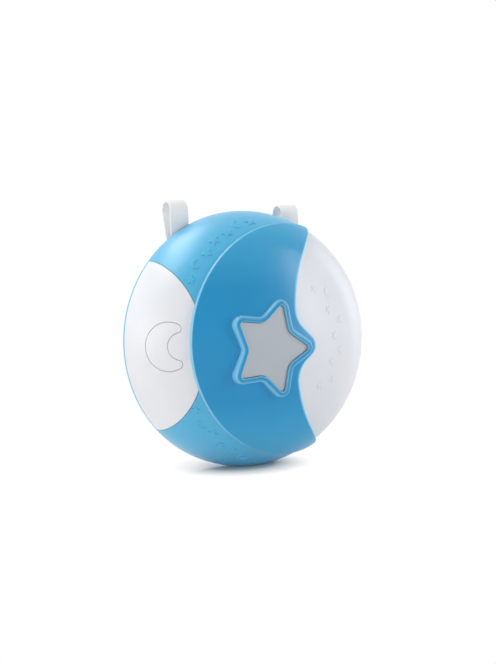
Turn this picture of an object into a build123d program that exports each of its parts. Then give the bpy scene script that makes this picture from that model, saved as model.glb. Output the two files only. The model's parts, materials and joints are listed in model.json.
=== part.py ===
"""Child's night light: a round two-button light that stands on its rim or hangs by two webbing loops.

The parts are drawn about the middle of the rim, with the front towards -Y, and are placed at the end
so that the origin lies on the standing flat. Distances called near and far run forwards from the rim.
"""
from build123d import *
from math import acos, atan2, cos, floor, hypot, pi, radians, sin, sqrt
import os

# Front dome
RIM_R = 100.0                # radius of the rim
SHARE = RIM_R / 100          # the layout is given in hundredths of the rim's radius
DOME_H = 60.0                # dome in front of the rim, at its middle
CROWN_LIFT = 10.0            # crown beyond the turned-down edge
WALL = 2.2                   # wall of the dome and its panels
SEAM_GAP = 0.15              # half the gap between flush panels
SEAT_GAP = 0.1               # gap between a panel and the ledge that it seats on
LEDGE_W = 4.0                # ledge on each side of a seam
LEDGE_T = 1.6

# Rear housing
BAND_W = 3.6                 # rim band behind the dome
BACK_Y = 27.0                # flat back, behind the rim
REAR_WALL = 3.0
DRUM_R = 70.0 * SHARE        # drum where it leaves the rim plate
DRUM_REAR_R = 68.0 * SHARE
DRUM_ROUND = 4.0
LIP_H = 3.0                  # lip that locates the dome
LIP_T = 1.6
LIP_GAP = 0.25
STAND_FLAT = 1.0             # depth of the standing flat
STAND_RELIEF = 0.05          # rim plate and heel above the standing land
LAND_W = 20.0                # moulded land under the front, which carries the weight
LAND_L = 9.5
LAND_PROUD = 0.3             # land below the front's round flat
FOOT_W = 16.0                # moulded heel behind the rim
FOOT_REACH = 22.0

# Outlines seen from the front, from the middle of the rim
PANEL_EDGE = 56.7 * SHARE    # seam circle of the moon panel, where it crosses the middle
PANEL_R = 114.4 * SHARE
LIGHT_EDGE = 2.0 * SHARE     # seam circle of the light dome, hidden under the cover
LIGHT_R = 103.5 * SHARE
COVER_X = 21.7 * SHARE       # left edge circle of the cover
COVER_R = 89.0 * SHARE
COVER_TIP_X = 50.0 * SHARE
COVER_RISE = 2.5             # cover's outside above the dome
COVER_ROUND = 1.1
WAVE_X = 15.3 * SHARE        # waists of the wave edge
WAVE_TOP_Z = 15.5 * SHARE
WAVE_LOW_Z = -20.5 * SHARE
WAVE_SIDE_R = 81.0 * SHARE
WAVE_ROUND = 19.0 * SHARE
BUMP_X = 36.0 * SHARE        # unrounded tip of the wave's bump
BUMP_Z = -5.0 * SHARE
BUMP_ROUND = 8.5 * SHARE

# Star bezel and button
STAR_X = -8.4 * SHARE
STAR_Z = -4.1 * SHARE
STAR_TURN = -1.8             # degrees, from a tip that points right
STAR_SQUEEZE = 0.91          # width of the star against its height
STAR_R = 36.4 * SHARE        # unrounded tips
STAR_NECK_R = 20.2 * SHARE   # unrounded necks
STAR_TIP_ROUND = 2.6
STAR_NECK_ROUND = 10.0
BEZEL_W = 4.2
BEZEL_PROUD = 4.2            # bezel in front of the dome
BEZEL_OUT_ROUND = 3.0
BEZEL_IN_ROUND = 0.9
STAR_RECESS = 2.2            # star's face below the crest
STAR_T = 2.4
STAR_GAP = 0.35
STAR_TRAVEL = 1.5
STEM_R = 3.0
STEM_FIT = 0.06
STEM_GROOVE = 0.7            # depth of the clip's groove
WELL_WALL = 1.8
WELL_FLOOR_T = 2.0
WELL_GAP = 0.6               # round the well, in the parts below
PAD_H = 5.5                  # star's rubber sleeve
PAD_R = 7.0
PAD_BORE = 5.0
BUSH_R = 5.5
BUSH_H = 2.0                 # bush below the well floor
CLIP_T = 1.0
CLIP_R = 5.2
CLIP_GAP = 0.05
CLIP_MOUTH = 3.4
STEM_END = 1.3               # stem beyond the clip
SWITCH_W = 12.0
SWITCH_H = 3.6
PLUNGER_R = 1.75
PLUNGER_FIT = 0.05
BOARD_T = 1.6
STAR_BOARD_R = 20.0 * SHARE
PILLAR_R = 2.6
PILLAR_AT = 15.5 * SHARE
PILLAR_ANGLES = (90.0, 210.0, 330.0)
COVER_BOSS_ANGLES = (86.0, 144.0, 216.0, 274.0)
COVER_BOSS_IN = 10.0         # inside the cover's left edge
COVER_BOSS_R = 3.2
COVER_PAD_R = 5.0            # housing's pad round each cover boss
COVER_PAD_L = 6.0
COVER_LAP = 16.0             # housing under the cover, inside its left edge

# Moon button, in its own plane on the dome
MOON_R = 81.2 * SHARE        # distance of the button from the axis
MOON_Z = 1.5 * SHARE
MOON_OUT_R = 18.0 * SHARE
MOON_IN_R = 10.3 * SHARE
MOON_IN_X = 9.8 * SHARE
MOON_TIP_ROUND = 3.2
MOON_GAP = 0.3
MOON_TRAVEL = 1.0
MOON_CLEAR = 0.7             # between the flange and the panel's wall
MOON_FLANGE_T = 1.4
MOON_FLANGE = (-19.0 * SHARE, 15.5 * SHARE, 21.0 * SHARE)   # left, right and half height
MOON_FLANGE_ROUND = 4.0
MOON_POSTS = ((-14.5 * SHARE, 16.5 * SHARE), (-14.5 * SHARE, -16.5 * SHARE), (10.5 * SHARE, 0))
MOON_POST_R = 2.0
MOON_POST_FIT = 0.3
MOON_STUB_R = 3.0
MOON_STUB_H = 1.6
MOON_SWITCH_X = -5.0 * SHARE
MOON_SLEEVE_R = 3.8
MOON_SWITCH_H = 4.8
MOON_PILOT_R = 0.8
MOON_SCREW_HEAD_R = 1.8
MOON_SCREW_HEAD_H = 1.2

# Screws
SCREW_R = 1.5
SCREW_HEAD_R = 2.8
SCREW_HEAD_H = 1.8
SCREW_FIT = 0.05
CLAMP_HEAD_R = 4.6           # head that laps over a neighbour
BOSS_R = 4.0
BOSS_AT = 86.0 * SHARE
BOSS_BITE = 10.0             # housing screw inside its boss
BOARD_BITE = 4.0
FRONT_BOSS_ANGLES = (78.0, 110.0, 250.0, 282.0)
PANEL_BOSS_ANGLES = (160.0, 200.0)
LIGHT_BOSS_ANGLES = (35.0, -35.0)

# Battery box
CELL_R = 7.25
CELL_L = 49.0
NUB_R = 2.75
NUB_L = 1.5
CELL_COUNT = 3
CELL_GAP = 0.6
BOX_Z = -19.0 * SHARE
BOX_WALL = 4.0
BOX_FLOOR = 1.8
CONTACT_ROOM = 5.0
CONTACT_T = 0.5
CONTACT_W = 9.0
CONTACT_H = 10.0
DOOR_T = 2.0
DOOR_LAP = 2.2
DOOR_GAP = 0.25
DOOR_TAB = 9.0               # door below the box, for its screw
DOOR_ROUND = 5.0

# Boards, speaker and switch
BOARD_ROUND = 1.5
MAIN_BOARD = (60.0, 42.0)
MAIN_STANDOFF = 6.0
MAIN_HOLE_IN = 4.0
STANDOFF_R = 3.0
CHIP = (14.0, 2.0)           # width and height
CAN = (18.0, 4.0, 9.0)       # place, radius and height
PLUG = (5.0, 8.0, 6.0)
PLUG_X = -20.0
PLUG_PITCH = 12.0
LED_BOARD = (14.0, 58.0)
LED_BOARD_X = 82.0 * SHARE
LED_STANDOFF = 4.0
LED_HOLE_IN = 4.0
LED_COUNT = 4
LED_PITCH = 10.0
LED_R = 2.5
LED_H = 4.5
SPEAKER_Z = 36.0 * SHARE
SPEAKER_R = 25.0 * SHARE
SPEAKER_FLANGE = 3.0
SPEAKER_FLANGE_T = 2.0
SPEAKER_DEPTH = 11.0
SPEAKER_WALL = 1.0
SPEAKER_THROAT_R = 11.0 * SHARE
MAGNET_R = 16.0 * SHARE
MAGNET_H = 9.0
CONE_T = 0.6
CONE_GAP = 0.5
SPEAKER_POST_ANGLES = (40.0, 140.0, 220.0, 320.0)
SPEAKER_POST_OUT = 3.2
SLOT_W = 2.4
SLOT_PITCH = 5.2
SLIDER_X = -50.0 * SHARE
SLIDER_Z = 4.0 * SHARE
SLIDER_TRAVEL = 6.0
SLIDER_W = 5.4
SLIDER_ROUND = 0.8
SLIDER_L = 7.0
SLIDER_PROUD = 0.8
SLIDER_GAP = 0.3
SLIDER_FLANGE = 2.0
SLIDER_FLANGE_T = 1.5
SLIDE_BODY = (9.0, 19.0, 4.2)
SLIDE_EAR = 5.5
SLIDE_PLATE_T = 1.2

# Straps
STRAP_X = 48.2 * SHARE
STRAP_W = 15.0
STRAP_T = 1.4
STRAP_BAR_Z = 70.0 * SHARE
STRAP_BAR_BEHIND = 4.8       # bar's middle behind the rim band
STRAP_BAR_R = 2.0
STRAP_BAR_FIT = 0.02
STRAP_SLACK = 0.3
STRAP_TOP_R = 7.0
STRAP_TOP_BEHIND = 9.0
STRAP_RISE = {"left": 10.0, "right": 4.0}   # loops above the rim
STRAP_SIDE_GAP = 0.7
EAR_T = 3.0
EAR_R = 4.5
PATCH_T = 1.0
PATCH_FROM = 8.0             # above the bar
PATCH_L = 18.0

# Derived places
KNUCKLE_R = DOME_H - CROWN_LIFT   # turned-down edge of the dome
BEZEL_CREST = DOME_H + BEZEL_PROUD
PANEL_X = -PANEL_EDGE - PANEL_R
LIGHT_X = LIGHT_EDGE + LIGHT_R
CROWN_R = ((RIM_R - KNUCKLE_R) ** 2 + DOME_H ** 2 - KNUCKLE_R ** 2) / (2 * (DOME_H - KNUCKLE_R))
TURN = atan2(RIM_R - KNUCKLE_R, CROWN_R - DOME_H)
STAR_FACE = BEZEL_CREST - STAR_RECESS
STAR_BACK = STAR_FACE - STAR_T
WELL_FLOOR = STAR_BACK - PAD_H
WELL_BACK = WELL_FLOOR - WELL_FLOOR_T
BUSH_END = WELL_BACK - BUSH_H
CLIP_TOP = BUSH_END - CLIP_GAP
STEM_TIP = CLIP_TOP - CLIP_T - STEM_END
SWITCH_TOP = STEM_TIP - STAR_TRAVEL
STAR_BOARD_TOP = SWITCH_TOP - SWITCH_H
MOON_TILT = pi / 2 - acos((MOON_R - RIM_R + KNUCKLE_R) / KNUCKLE_R)
MOON_FORWARD = KNUCKLE_R * cos(MOON_TILT)
MOON_SAG = KNUCKLE_R - sqrt(KNUCKLE_R ** 2 - MOON_FLANGE[0] ** 2)   # panel's fall along the flange
MOON_SIDE_SAG = (MOON_FLANGE[2] + MOON_Z) ** 2 * sin(MOON_TILT) / (2 * MOON_R)
MOON_DEPTH = MOON_SAG + MOON_SIDE_SAG + WALL + MOON_CLEAR   # cap, down to its flange
MOON_STUB_END = MOON_DEPTH + MOON_FLANGE_T + MOON_STUB_H
MOON_SWITCH_TOP = MOON_STUB_END + MOON_TRAVEL
MOON_BOARD_AT = MOON_SWITCH_TOP + MOON_SWITCH_H   # face of the board below the surface
PLATE_IN = BAND_W - REAR_WALL   # inside of the rim plate, behind the rim
BACK_IN = BACK_Y - REAR_WALL
DOOR_IN = BACK_Y - DOOR_T
BOX_L = CELL_L + NUB_L + 2 * CONTACT_ROOM
BOX_H = CELL_COUNT * (2 * CELL_R + CELL_GAP) + CELL_GAP
CELL_Y = DOOR_IN - CELL_GAP - CELL_R
BOX_IN = CELL_Y - CELL_R - CELL_GAP
BOX_FRONT = BOX_IN - BOX_FLOOR
MAIN_BACK = BOX_FRONT - MAIN_STANDOFF
LED_BACK = LED_STANDOFF - PLATE_IN
SPEAKER_BACK = BACK_IN - SPEAKER_FLANGE_T
SLIDE_TOP = BACK_IN - SLIDER_GAP - SLIDER_FLANGE_T - SLIDER_GAP
SLIDE_PLATE = SLIDE_TOP - SLIDE_BODY[2]
BAR_Y = BAND_W + STRAP_BAR_BEHIND
LOOP_Y = BAND_W + STRAP_TOP_BEHIND
PLACE = Pos(0, -BAND_W / 2, RIM_R - STAND_FLAT)
MOON_PLANE = Plane(
    origin=(-MOON_R, -MOON_FORWARD, MOON_Z),
    x_dir=(cos(MOON_TILT), -sin(MOON_TILT), 0),
    z_dir=(-sin(MOON_TILT), -cos(MOON_TILT), 0),
)


# Shared shapes

def slab(outline, near, far):
    """Prism of a front-view outline between two distances in front of the rim."""
    return extrude(Plane.XZ.offset(near) * outline, far - near)


def disc(x, z, radius, near, far):
    """Round bar along the light's axis."""
    return slab(Pos(x, z) * Circle(radius), near, far)


def behind(outline, front, back):
    """Prism of a front-view outline between two distances behind the rim."""
    return slab(outline, -back, -front)


def at_angle(radius, angle):
    """Point of the front view, by radius and angle."""
    return radius * cos(radians(angle)), radius * sin(radians(angle))


def dome(offset):
    """Solid under the front surface, whose surface is moved out by an offset."""
    knuckle_r = KNUCKLE_R + offset
    crown_r = CROWN_R + offset

    def knuckle(angle):
        return RIM_R - KNUCKLE_R + knuckle_r * sin(angle), -knuckle_r * cos(angle)

    def crown(angle):
        return crown_r * sin(angle), CROWN_R - DOME_H - crown_r * cos(angle)

    edge = ThreePointArc(knuckle(pi / 2), knuckle((pi / 2 + TURN) / 2), knuckle(TURN))
    top = ThreePointArc(crown(TURN), crown(TURN / 2), crown(0))
    base = Polyline(crown(0), (0, 0), knuckle(pi / 2))
    return revolve(make_face([*edge.edges(), *top.edges(), *base.edges()]), Axis.Y)


def shell(outside, inside):
    """Part of the dome's wall between two offsets."""
    return dome(outside) - dome(inside)


def turned(points):
    """Solid of revolution about the light's axis, from radius and distance behind the rim."""
    return revolve(make_face(Polyline(*points, close=True)), Axis.Y)


def screw(x, z, seat, length, forward=1, head_r=SCREW_HEAD_R):
    """Pan-head screw along the axis; its head sits behind the seat, or before it if forward is -1."""
    head = disc(x, z, head_r, seat - forward * SCREW_HEAD_H, seat)
    head = fillet(head.edges().sort_by(Axis.Y)[-1 if forward > 0 else 0], SCREW_HEAD_H / 2)
    return head + disc(x, z, SCREW_R, seat, seat + forward * length)


def front_screws(holes, seat, length, head_r=SCREW_HEAD_R):
    """Screws driven backwards from the inside of the light."""
    return Compound([screw(x, z, seat, length, -1, head_r) for x, z in holes])


def screw_hole(x, z, near, far):
    """Hole for a screw."""
    return disc(x, z, SCREW_R + SCREW_FIT, near, far)


def round_box(width, height, radius):
    """Rectangle with round corners."""
    return RectangleRounded(width, height, radius)


# Outlines

def moved_out(points, grow):
    """Corners of an outline, in anticlockwise order, with each side moved out."""
    moved = []
    for before, here, after in zip(points[-1:] + points[:-1], points, points[1:] + points[:1]):
        into = (here - before).normalized().rotate(Axis.Z, -90)
        away = (after - here).normalized().rotate(Axis.Z, -90)
        moved.append(here + (into + away) * (grow / (1 + into.dot(away))))
    return moved


def star(grow):
    """Five-pointed star with round tips and necks, moved out by an offset."""
    points = []
    for i in range(10):
        x, z = at_angle(STAR_NECK_R if i % 2 else STAR_R, STAR_TURN + 36 * i)
        points.append(Vector(x * STAR_SQUEEZE, z))
    face = make_face(Polyline(*moved_out(points, grow), close=True))
    face = fillet(face.vertices().sort_by_distance((0, 0, 0))[:5], STAR_NECK_ROUND - grow)
    face = fillet(face.vertices().sort_by_distance((0, 0, 0))[-5:], STAR_TIP_ROUND + grow)
    return Pos(STAR_X, STAR_Z) * face


def cover_outline():
    """Cover seen from the front: an arc on the left, a wave with a bump on the right."""
    tip_z = sqrt(COVER_R ** 2 - (COVER_TIP_X - COVER_X) ** 2)
    top, low = (COVER_TIP_X, tip_z), (COVER_TIP_X, -tip_z)
    top_waist, low_waist = (WAVE_X, WAVE_TOP_Z), (WAVE_X, WAVE_LOW_Z)
    left = ThreePointArc(top, (COVER_X - COVER_R, 0), low)
    low_side = RadiusArc(low, low_waist, WAVE_SIDE_R)
    bump = Polyline(low_waist, (BUMP_X, BUMP_Z), top_waist)
    top_side = RadiusArc(top_waist, top, WAVE_SIDE_R)
    face = make_face([*left.edges(), *low_side.edges(), *bump.edges(), *top_side.edges()])
    face = fillet(face.vertices().sort_by_distance((BUMP_X, BUMP_Z))[0], BUMP_ROUND)
    face = fillet(face.vertices().sort_by_distance(top_waist)[0], WAVE_ROUND)
    return fillet(face.vertices().sort_by_distance(low_waist)[0], WAVE_ROUND)


def crescent(grow):
    """Plain crescent with round tips, moved out by an offset, in the moon's plane."""
    face = Circle(MOON_OUT_R + grow) - Pos(MOON_IN_X, 0) * Circle(MOON_IN_R - grow)
    tips = face.vertices().sort_by(Axis.X)[-2:]
    return fillet(tips, MOON_TIP_ROUND + grow)


def moon_slab(outline, near, far):
    """Prism of an outline between two heights over the moon's plane."""
    return extrude(MOON_PLANE.offset(near) * outline, far - near)


# Front pieces

def boss(angle):
    """Screw boss from the dome's wall to the rim plate, without its hole."""
    x, z = at_angle(BOSS_AT, angle)
    return disc(x, z, BOSS_R, -PLATE_IN, LEDGE_T) + (disc(x, z, BOSS_R, 0, DOME_H) & dome(-WALL / 2))


def with_bosses(piece, angles):
    """Adds drilled screw bosses to a front piece."""
    for angle in angles:
        piece = piece + boss(angle)
    for angle in angles:
        x, z = at_angle(BOSS_AT, angle)
        piece = piece - screw_hole(x, z, -PLATE_IN, BOSS_BITE)
    return piece


def standing_cut(relief):
    """Everything below a face that is relieved from the standing land."""
    return Pos(0, 0, relief - RIM_R - STAND_FLAT) * Box(4 * RIM_R, 4 * RIM_R, 4 * STAND_FLAT)


def standing_land():
    """Straight-edged land in the bottom of the front's wall."""
    block = Pos(0, -LAND_L / 2, STAND_FLAT - RIM_R + WALL / 2) * Box(LAND_W, LAND_L, WALL)
    return block - dome(-WALL)


def front_housing():
    """Blue strip of the dome between the panels, with ledges behind both seams."""
    panel, light = Pos(PANEL_X, 0), Pos(LIGHT_X, 0)
    skin = shell(0, -WALL)
    skin -= slab(panel * Circle(PANEL_R + SEAM_GAP), 0, DOME_H)
    skin -= slab(light * Circle(LIGHT_R + SEAM_GAP), 0, DOME_H)
    rings = panel * (Circle(PANEL_R + LEDGE_W) - Circle(PANEL_R - LEDGE_W))
    light_ring = light * (Circle(LIGHT_R + LEDGE_W) - Circle(LIGHT_R - LEDGE_W))
    under = shell(-WALL, -WALL - LEDGE_T)
    under &= slab(Rectangle(4 * RIM_R, 4 * RIM_R), LIP_H + LIP_GAP, DOME_H)
    piece = skin + (under & slab(rings, 0, DOME_H)) + (under & slab(light_ring, 0, DOME_H))
    window = Pos(COVER_X, 0) * Circle(COVER_R - COVER_LAP) - light * Circle(LIGHT_R + LEDGE_W)
    piece -= slab(window, 0, DOME_H)
    piece -= slab(star(WELL_WALL + WELL_GAP), 0, DOME_H)
    piece = with_bosses(piece, FRONT_BOSS_ANGLES)
    for x, z in cover_bosses():
        piece += disc(x, z, COVER_PAD_R, pad_end(x, z), DOME_H) & dome(-WALL / 2)
    for x, z in cover_bosses():
        piece -= disc(x, z, COVER_BOSS_R + SEAT_GAP, LIP_H, DOME_H)
    return piece - standing_cut(LAND_PROUD) + standing_land()


def flush_panel(center_x, radius, angles):
    """Inlaid part of the dome inside a seam circle."""
    piece = shell(0, SEAT_GAP - WALL) & slab(Pos(center_x, 0) * Circle(radius - SEAM_GAP), 0, DOME_H)
    return with_bosses(piece, angles)


def moon_panel():
    """White panel on the left, with the crescent's hole and the posts that carry its board."""
    piece = flush_panel(PANEL_X, PANEL_R, PANEL_BOSS_ANGLES)
    for u, v in MOON_POSTS:
        post = moon_slab(Pos(u, v) * Circle(MOON_POST_R), -MOON_BOARD_AT, 0)
        piece += post & dome(-WALL / 2)
    piece -= moon_slab(crescent(MOON_GAP), -MOON_DEPTH, KNUCKLE_R)
    for u, v in MOON_POSTS:
        piece -= moon_slab(Pos(u, v) * Circle(MOON_PILOT_R), -MOON_BOARD_AT, BOARD_BITE - MOON_BOARD_AT)
    return piece


def light_dome():
    """White translucent dome on the right."""
    piece = flush_panel(LIGHT_X, LIGHT_R, LIGHT_BOSS_ANGLES)
    for x, z in cover_bosses():
        piece -= disc(x, z, COVER_PAD_R + WELL_GAP, LIP_H, DOME_H)
    return piece - slab(star(WELL_WALL + WELL_GAP), 0, DOME_H)


def star_bezel():
    """Star-shaped bead round the button, open in the middle."""
    bead = slab(star(BEZEL_W), WELL_FLOOR, BEZEL_CREST)
    bead = fillet(bead.faces().sort_by(Axis.Y)[0].edges(), BEZEL_OUT_ROUND)
    bead -= slab(star(0), WELL_FLOOR, BEZEL_CREST)
    inner = bead.faces().sort_by(Axis.Y)[0].inner_wires()[0].edges()
    return fillet(inner, BEZEL_IN_ROUND) - dome(SEAT_GAP)


def center_cover():
    """Raised cover with its star bezel, button well, guide bush and board pillars."""
    skin = shell(COVER_RISE, SEAT_GAP) & slab(cover_outline(), 0, DOME_H + 2 * COVER_RISE)
    skin = rounded_cover(skin)
    well = slab(star(WELL_WALL), WELL_BACK, DOME_H) & dome(COVER_RISE / 2)
    piece = skin + star_bezel() + well
    piece -= slab(star(0), WELL_FLOOR, BEZEL_CREST)
    piece += disc(STAR_X, STAR_Z, BUSH_R, BUSH_END, WELL_BACK)
    piece -= disc(STAR_X, STAR_Z, STEM_R + STEM_FIT, BUSH_END, BEZEL_CREST)
    for x, z in pillars():
        piece += disc(x, z, PILLAR_R, STAR_BOARD_TOP, WELL_BACK)
    for x, z in pillars():
        piece -= screw_hole(x, z, STAR_BOARD_TOP, STAR_BOARD_TOP + BOARD_BITE)
    for x, z in cover_bosses():
        end = pad_end(x, z) + SEAT_GAP
        piece += disc(x, z, COVER_BOSS_R, end, DOME_H) & dome(COVER_RISE / 2)
        piece -= screw_hole(x, z, end, end + BOARD_BITE)
    return piece


def rounded_cover(skin):
    """Rounds the cover's outer edge."""
    turn_r = (CROWN_R + COVER_RISE) * sin(TURN)
    outer = []
    for edge in skin.edges():
        points = [edge.position_at(share) for share in (0.1, 0.5, 0.9)]
        outside = all(abs(surface_gap(point) - COVER_RISE) < SEAT_GAP / 2 for point in points)
        along_turn = all(abs(hypot(point.X, point.Z) - turn_r) < SEAT_GAP / 2 for point in points)
        if outside and not along_turn:
            outer.append(edge)
    return fillet(outer, COVER_ROUND)


def surface_gap(point):
    """Distance of a point outside the dome's surface."""
    radius, forward = hypot(point.X, point.Z), -point.Y
    if radius * (CROWN_R - DOME_H) < (forward + CROWN_R - DOME_H) * (RIM_R - KNUCKLE_R):
        return hypot(radius, forward + CROWN_R - DOME_H) - CROWN_R
    return hypot(radius - RIM_R + KNUCKLE_R, forward) - KNUCKLE_R


def pillars():
    """Places of the pillars that carry the star's board."""
    for angle in PILLAR_ANGLES:
        x, z = at_angle(PILLAR_AT, angle)
        yield STAR_X + x, STAR_Z + z


def surface_forward(x, z, offset):
    """Distance in front of the rim of the dome's offset surface."""
    radius = hypot(x, z)
    crown_r, knuckle_r = CROWN_R + offset, KNUCKLE_R + offset
    if radius < crown_r * sin(TURN):
        return sqrt(crown_r ** 2 - radius ** 2) - CROWN_R + DOME_H
    return sqrt(knuckle_r ** 2 - (radius - RIM_R + KNUCKLE_R) ** 2)


def cover_bosses():
    """Places of the cover's screw bosses."""
    for angle in COVER_BOSS_ANGLES:
        x, z = at_angle(COVER_R - COVER_BOSS_IN, angle)
        yield COVER_X + x, z


def pad_end(x, z):
    """Lower end of the housing's pad round a cover boss."""
    return surface_forward(x, z, -WALL) - COVER_PAD_L


def cover_screws():
    """Broad-headed screws that draw the cover against the housing's pads."""
    group = []
    for x, z in cover_bosses():
        group.append(screw(x, z, pad_end(x, z), BOARD_BITE, head_r=CLAMP_HEAD_R))
    return Compound(group)


# Star button

def star_button():
    """Silver star with a stem that runs in the cover's bush."""
    plate = slab(star(-STAR_GAP), STAR_BACK, STAR_FACE)
    stem = disc(STAR_X, STAR_Z, STEM_R, STEM_TIP, STAR_BACK)
    ring = Circle(STEM_R) - Circle(STEM_R - STEM_GROOVE)
    return plate + stem - slab(Pos(STAR_X, STAR_Z) * ring, CLIP_TOP - CLIP_T, CLIP_TOP)


def star_clip():
    """Open clip in the stem's groove, below the bush."""
    ring = Circle(CLIP_R) - Circle(STEM_R - STEM_GROOVE)
    ring -= Pos(CLIP_R, 0) * Rectangle(2 * CLIP_R, CLIP_MOUTH)
    return slab(Pos(STAR_X, STAR_Z) * ring, CLIP_TOP - CLIP_T, CLIP_TOP)


def star_return_pad():
    """Rubber sleeve that lifts the star."""
    ring = Circle(PAD_R) - Circle(PAD_BORE)
    return slab(Pos(STAR_X, STAR_Z) * ring, WELL_FLOOR, STAR_BACK)


def star_switch():
    """Square tactile switch on the star's board."""
    body = round_box(SWITCH_W, SWITCH_W, PLUNGER_R) - Circle(PLUNGER_R + PLUNGER_FIT)
    return slab(Pos(STAR_X, STAR_Z) * body, STAR_BOARD_TOP, SWITCH_TOP)


def star_plunger():
    """Plunger of the star's switch, which the stem pushes."""
    return disc(STAR_X, STAR_Z, PLUNGER_R, STAR_BOARD_TOP + STAR_TRAVEL + SEAT_GAP, STEM_TIP)


def star_board():
    """Round board on the cover's pillars."""
    board = disc(STAR_X, STAR_Z, STAR_BOARD_R, STAR_BOARD_TOP - BOARD_T, STAR_BOARD_TOP)
    for x, z in pillars():
        board -= screw_hole(x, z, STAR_BOARD_TOP - BOARD_T, STAR_BOARD_TOP)
    return board


def star_board_screws():
    """Screws of the star's board."""
    return Compound([screw(x, z, STAR_BOARD_TOP - BOARD_T, BOARD_T + BOARD_BITE) for x, z in pillars()])


# Moon button

def moon_flange_outline():
    """Flange below the crescent, with clearance round the posts."""
    left, right, half = MOON_FLANGE
    plate = Pos((left + right) / 2, 0) * round_box(right - left, 2 * half, MOON_FLANGE_ROUND)
    for u, v in MOON_POSTS:
        plate -= Pos(u, v) * Circle(MOON_POST_R + MOON_POST_FIT)
    return plate


def moon_button():
    """Crescent cap, flush with the panel, on a flange with a stub for its switch."""
    cap = moon_slab(crescent(0), -MOON_DEPTH, KNUCKLE_R / 2) & dome(0)
    cap += moon_slab(moon_flange_outline(), -MOON_DEPTH - MOON_FLANGE_T, -MOON_DEPTH)
    stub = Pos(MOON_SWITCH_X, 0) * Circle(MOON_STUB_R)
    return cap + moon_slab(stub, -MOON_STUB_END, -MOON_DEPTH - MOON_FLANGE_T)


def moon_return_pads():
    """Rubber sleeves on the posts, between the flange and the board."""
    ring = Circle(MOON_SLEEVE_R) - Circle(MOON_POST_R + MOON_POST_FIT)
    sleeves = []
    for u, v in MOON_POSTS:
        sleeves.append(moon_slab(Pos(u, v) * ring, -MOON_BOARD_AT, -MOON_DEPTH - MOON_FLANGE_T))
    return Compound(sleeves)


def moon_switch():
    """Small tactile switch on the moon's board."""
    body = round_box(SWITCH_W, SWITCH_W, PLUNGER_R) - Circle(PLUNGER_R + PLUNGER_FIT)
    return moon_slab(Pos(MOON_SWITCH_X, 0) * body, -MOON_BOARD_AT, -MOON_SWITCH_TOP)


def moon_plunger():
    """Plunger of the moon's switch."""
    foot = MOON_TRAVEL + SEAT_GAP - MOON_BOARD_AT
    return moon_slab(Pos(MOON_SWITCH_X, 0) * Circle(PLUNGER_R), foot, -MOON_STUB_END)


def moon_board():
    """Board on the ends of the panel's posts."""
    left, right, half = MOON_FLANGE
    plate = Pos((left + right) / 2, 0) * round_box(right - left, 2 * half, MOON_FLANGE_ROUND)
    for u, v in MOON_POSTS:
        plate -= Pos(u, v) * Circle(MOON_PILOT_R)
    return moon_slab(plate, -MOON_BOARD_AT - BOARD_T, -MOON_BOARD_AT)


def moon_board_screws():
    """Screws of the moon's board."""
    group = []
    face = -MOON_BOARD_AT - BOARD_T
    for u, v in MOON_POSTS:
        head = moon_slab(Pos(u, v) * Circle(MOON_SCREW_HEAD_R), face - MOON_SCREW_HEAD_H, face)
        shank = moon_slab(Pos(u, v) * Circle(MOON_PILOT_R - SCREW_FIT), face, BOARD_BITE - MOON_BOARD_AT)
        group.append(head + shank)
    return Compound(group)


# Rear housing

def rear_shape():
    """Closed back: rim band, rim plate and drum."""
    outer = make_face(Polyline(
        (0, 0), (RIM_R, 0), (RIM_R, BAND_W), (DRUM_R, BAND_W),
        (DRUM_REAR_R, BACK_Y), (0, BACK_Y), close=True))
    outer = fillet(outer.vertices().sort_by_distance((DRUM_REAR_R, BACK_Y))[0], DRUM_ROUND)
    outer = fillet(outer.vertices().sort_by_distance((DRUM_R, BAND_W))[0], DRUM_ROUND / 2)
    outer = fillet(outer.vertices().sort_by_distance((RIM_R, BAND_W))[0], BAND_W / 3)
    hollow = turned((
        (0, 0), (RIM_R - WALL, 0), (RIM_R - WALL, PLATE_IN), (DRUM_R - REAR_WALL, PLATE_IN),
        (DRUM_REAR_R - REAR_WALL, BACK_IN), (0, BACK_IN)))
    return revolve(outer, Axis.Y) - hollow


def locating_lip():
    """Ring inside the dome's rim."""
    outer = RIM_R - WALL - LIP_GAP
    ring = slab(Circle(outer) - Circle(outer - LIP_T), -PLATE_IN, LIP_H)
    return ring


def battery_box():
    """Walls and floor of the battery box, in front of the flat back."""
    return behind(Pos(0, BOX_Z) * Rectangle(BOX_L + 2 * BOX_WALL, BOX_H + 2 * BOX_WALL), BOX_FRONT, BACK_IN)


def door_outline(gap):
    """Battery door seen from the front, with a tab for its screw."""
    top = BOX_Z + BOX_H / 2 + DOOR_LAP
    low = BOX_Z - BOX_H / 2 - DOOR_TAB
    middle = Pos(0, (top + low) / 2)
    return middle * round_box(BOX_L + 2 * DOOR_LAP - 2 * gap, top - low - 2 * gap, DOOR_ROUND)


def door_screw_z():
    """Height of the battery door's screw."""
    return BOX_Z - BOX_H / 2 - DOOR_TAB / 2


def main_holes():
    """Places of the main board's screws."""
    width, height = MAIN_BOARD
    for x in (MAIN_HOLE_IN - width / 2, width / 2 - MAIN_HOLE_IN):
        for z in (MAIN_HOLE_IN - height / 2, height / 2 - MAIN_HOLE_IN):
            yield x, BOX_Z + z


def led_holes():
    """Places of the lamp board's screws."""
    for z in (LED_HOLE_IN - LED_BOARD[1] / 2, LED_BOARD[1] / 2 - LED_HOLE_IN):
        yield LED_BOARD_X, z


def slide_holes():
    """Places of the slide switch's screws."""
    for side in (-1, 1):
        yield SLIDER_X, SLIDER_Z + side * (SLIDE_BODY[1] + SLIDE_EAR) / 2


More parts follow.
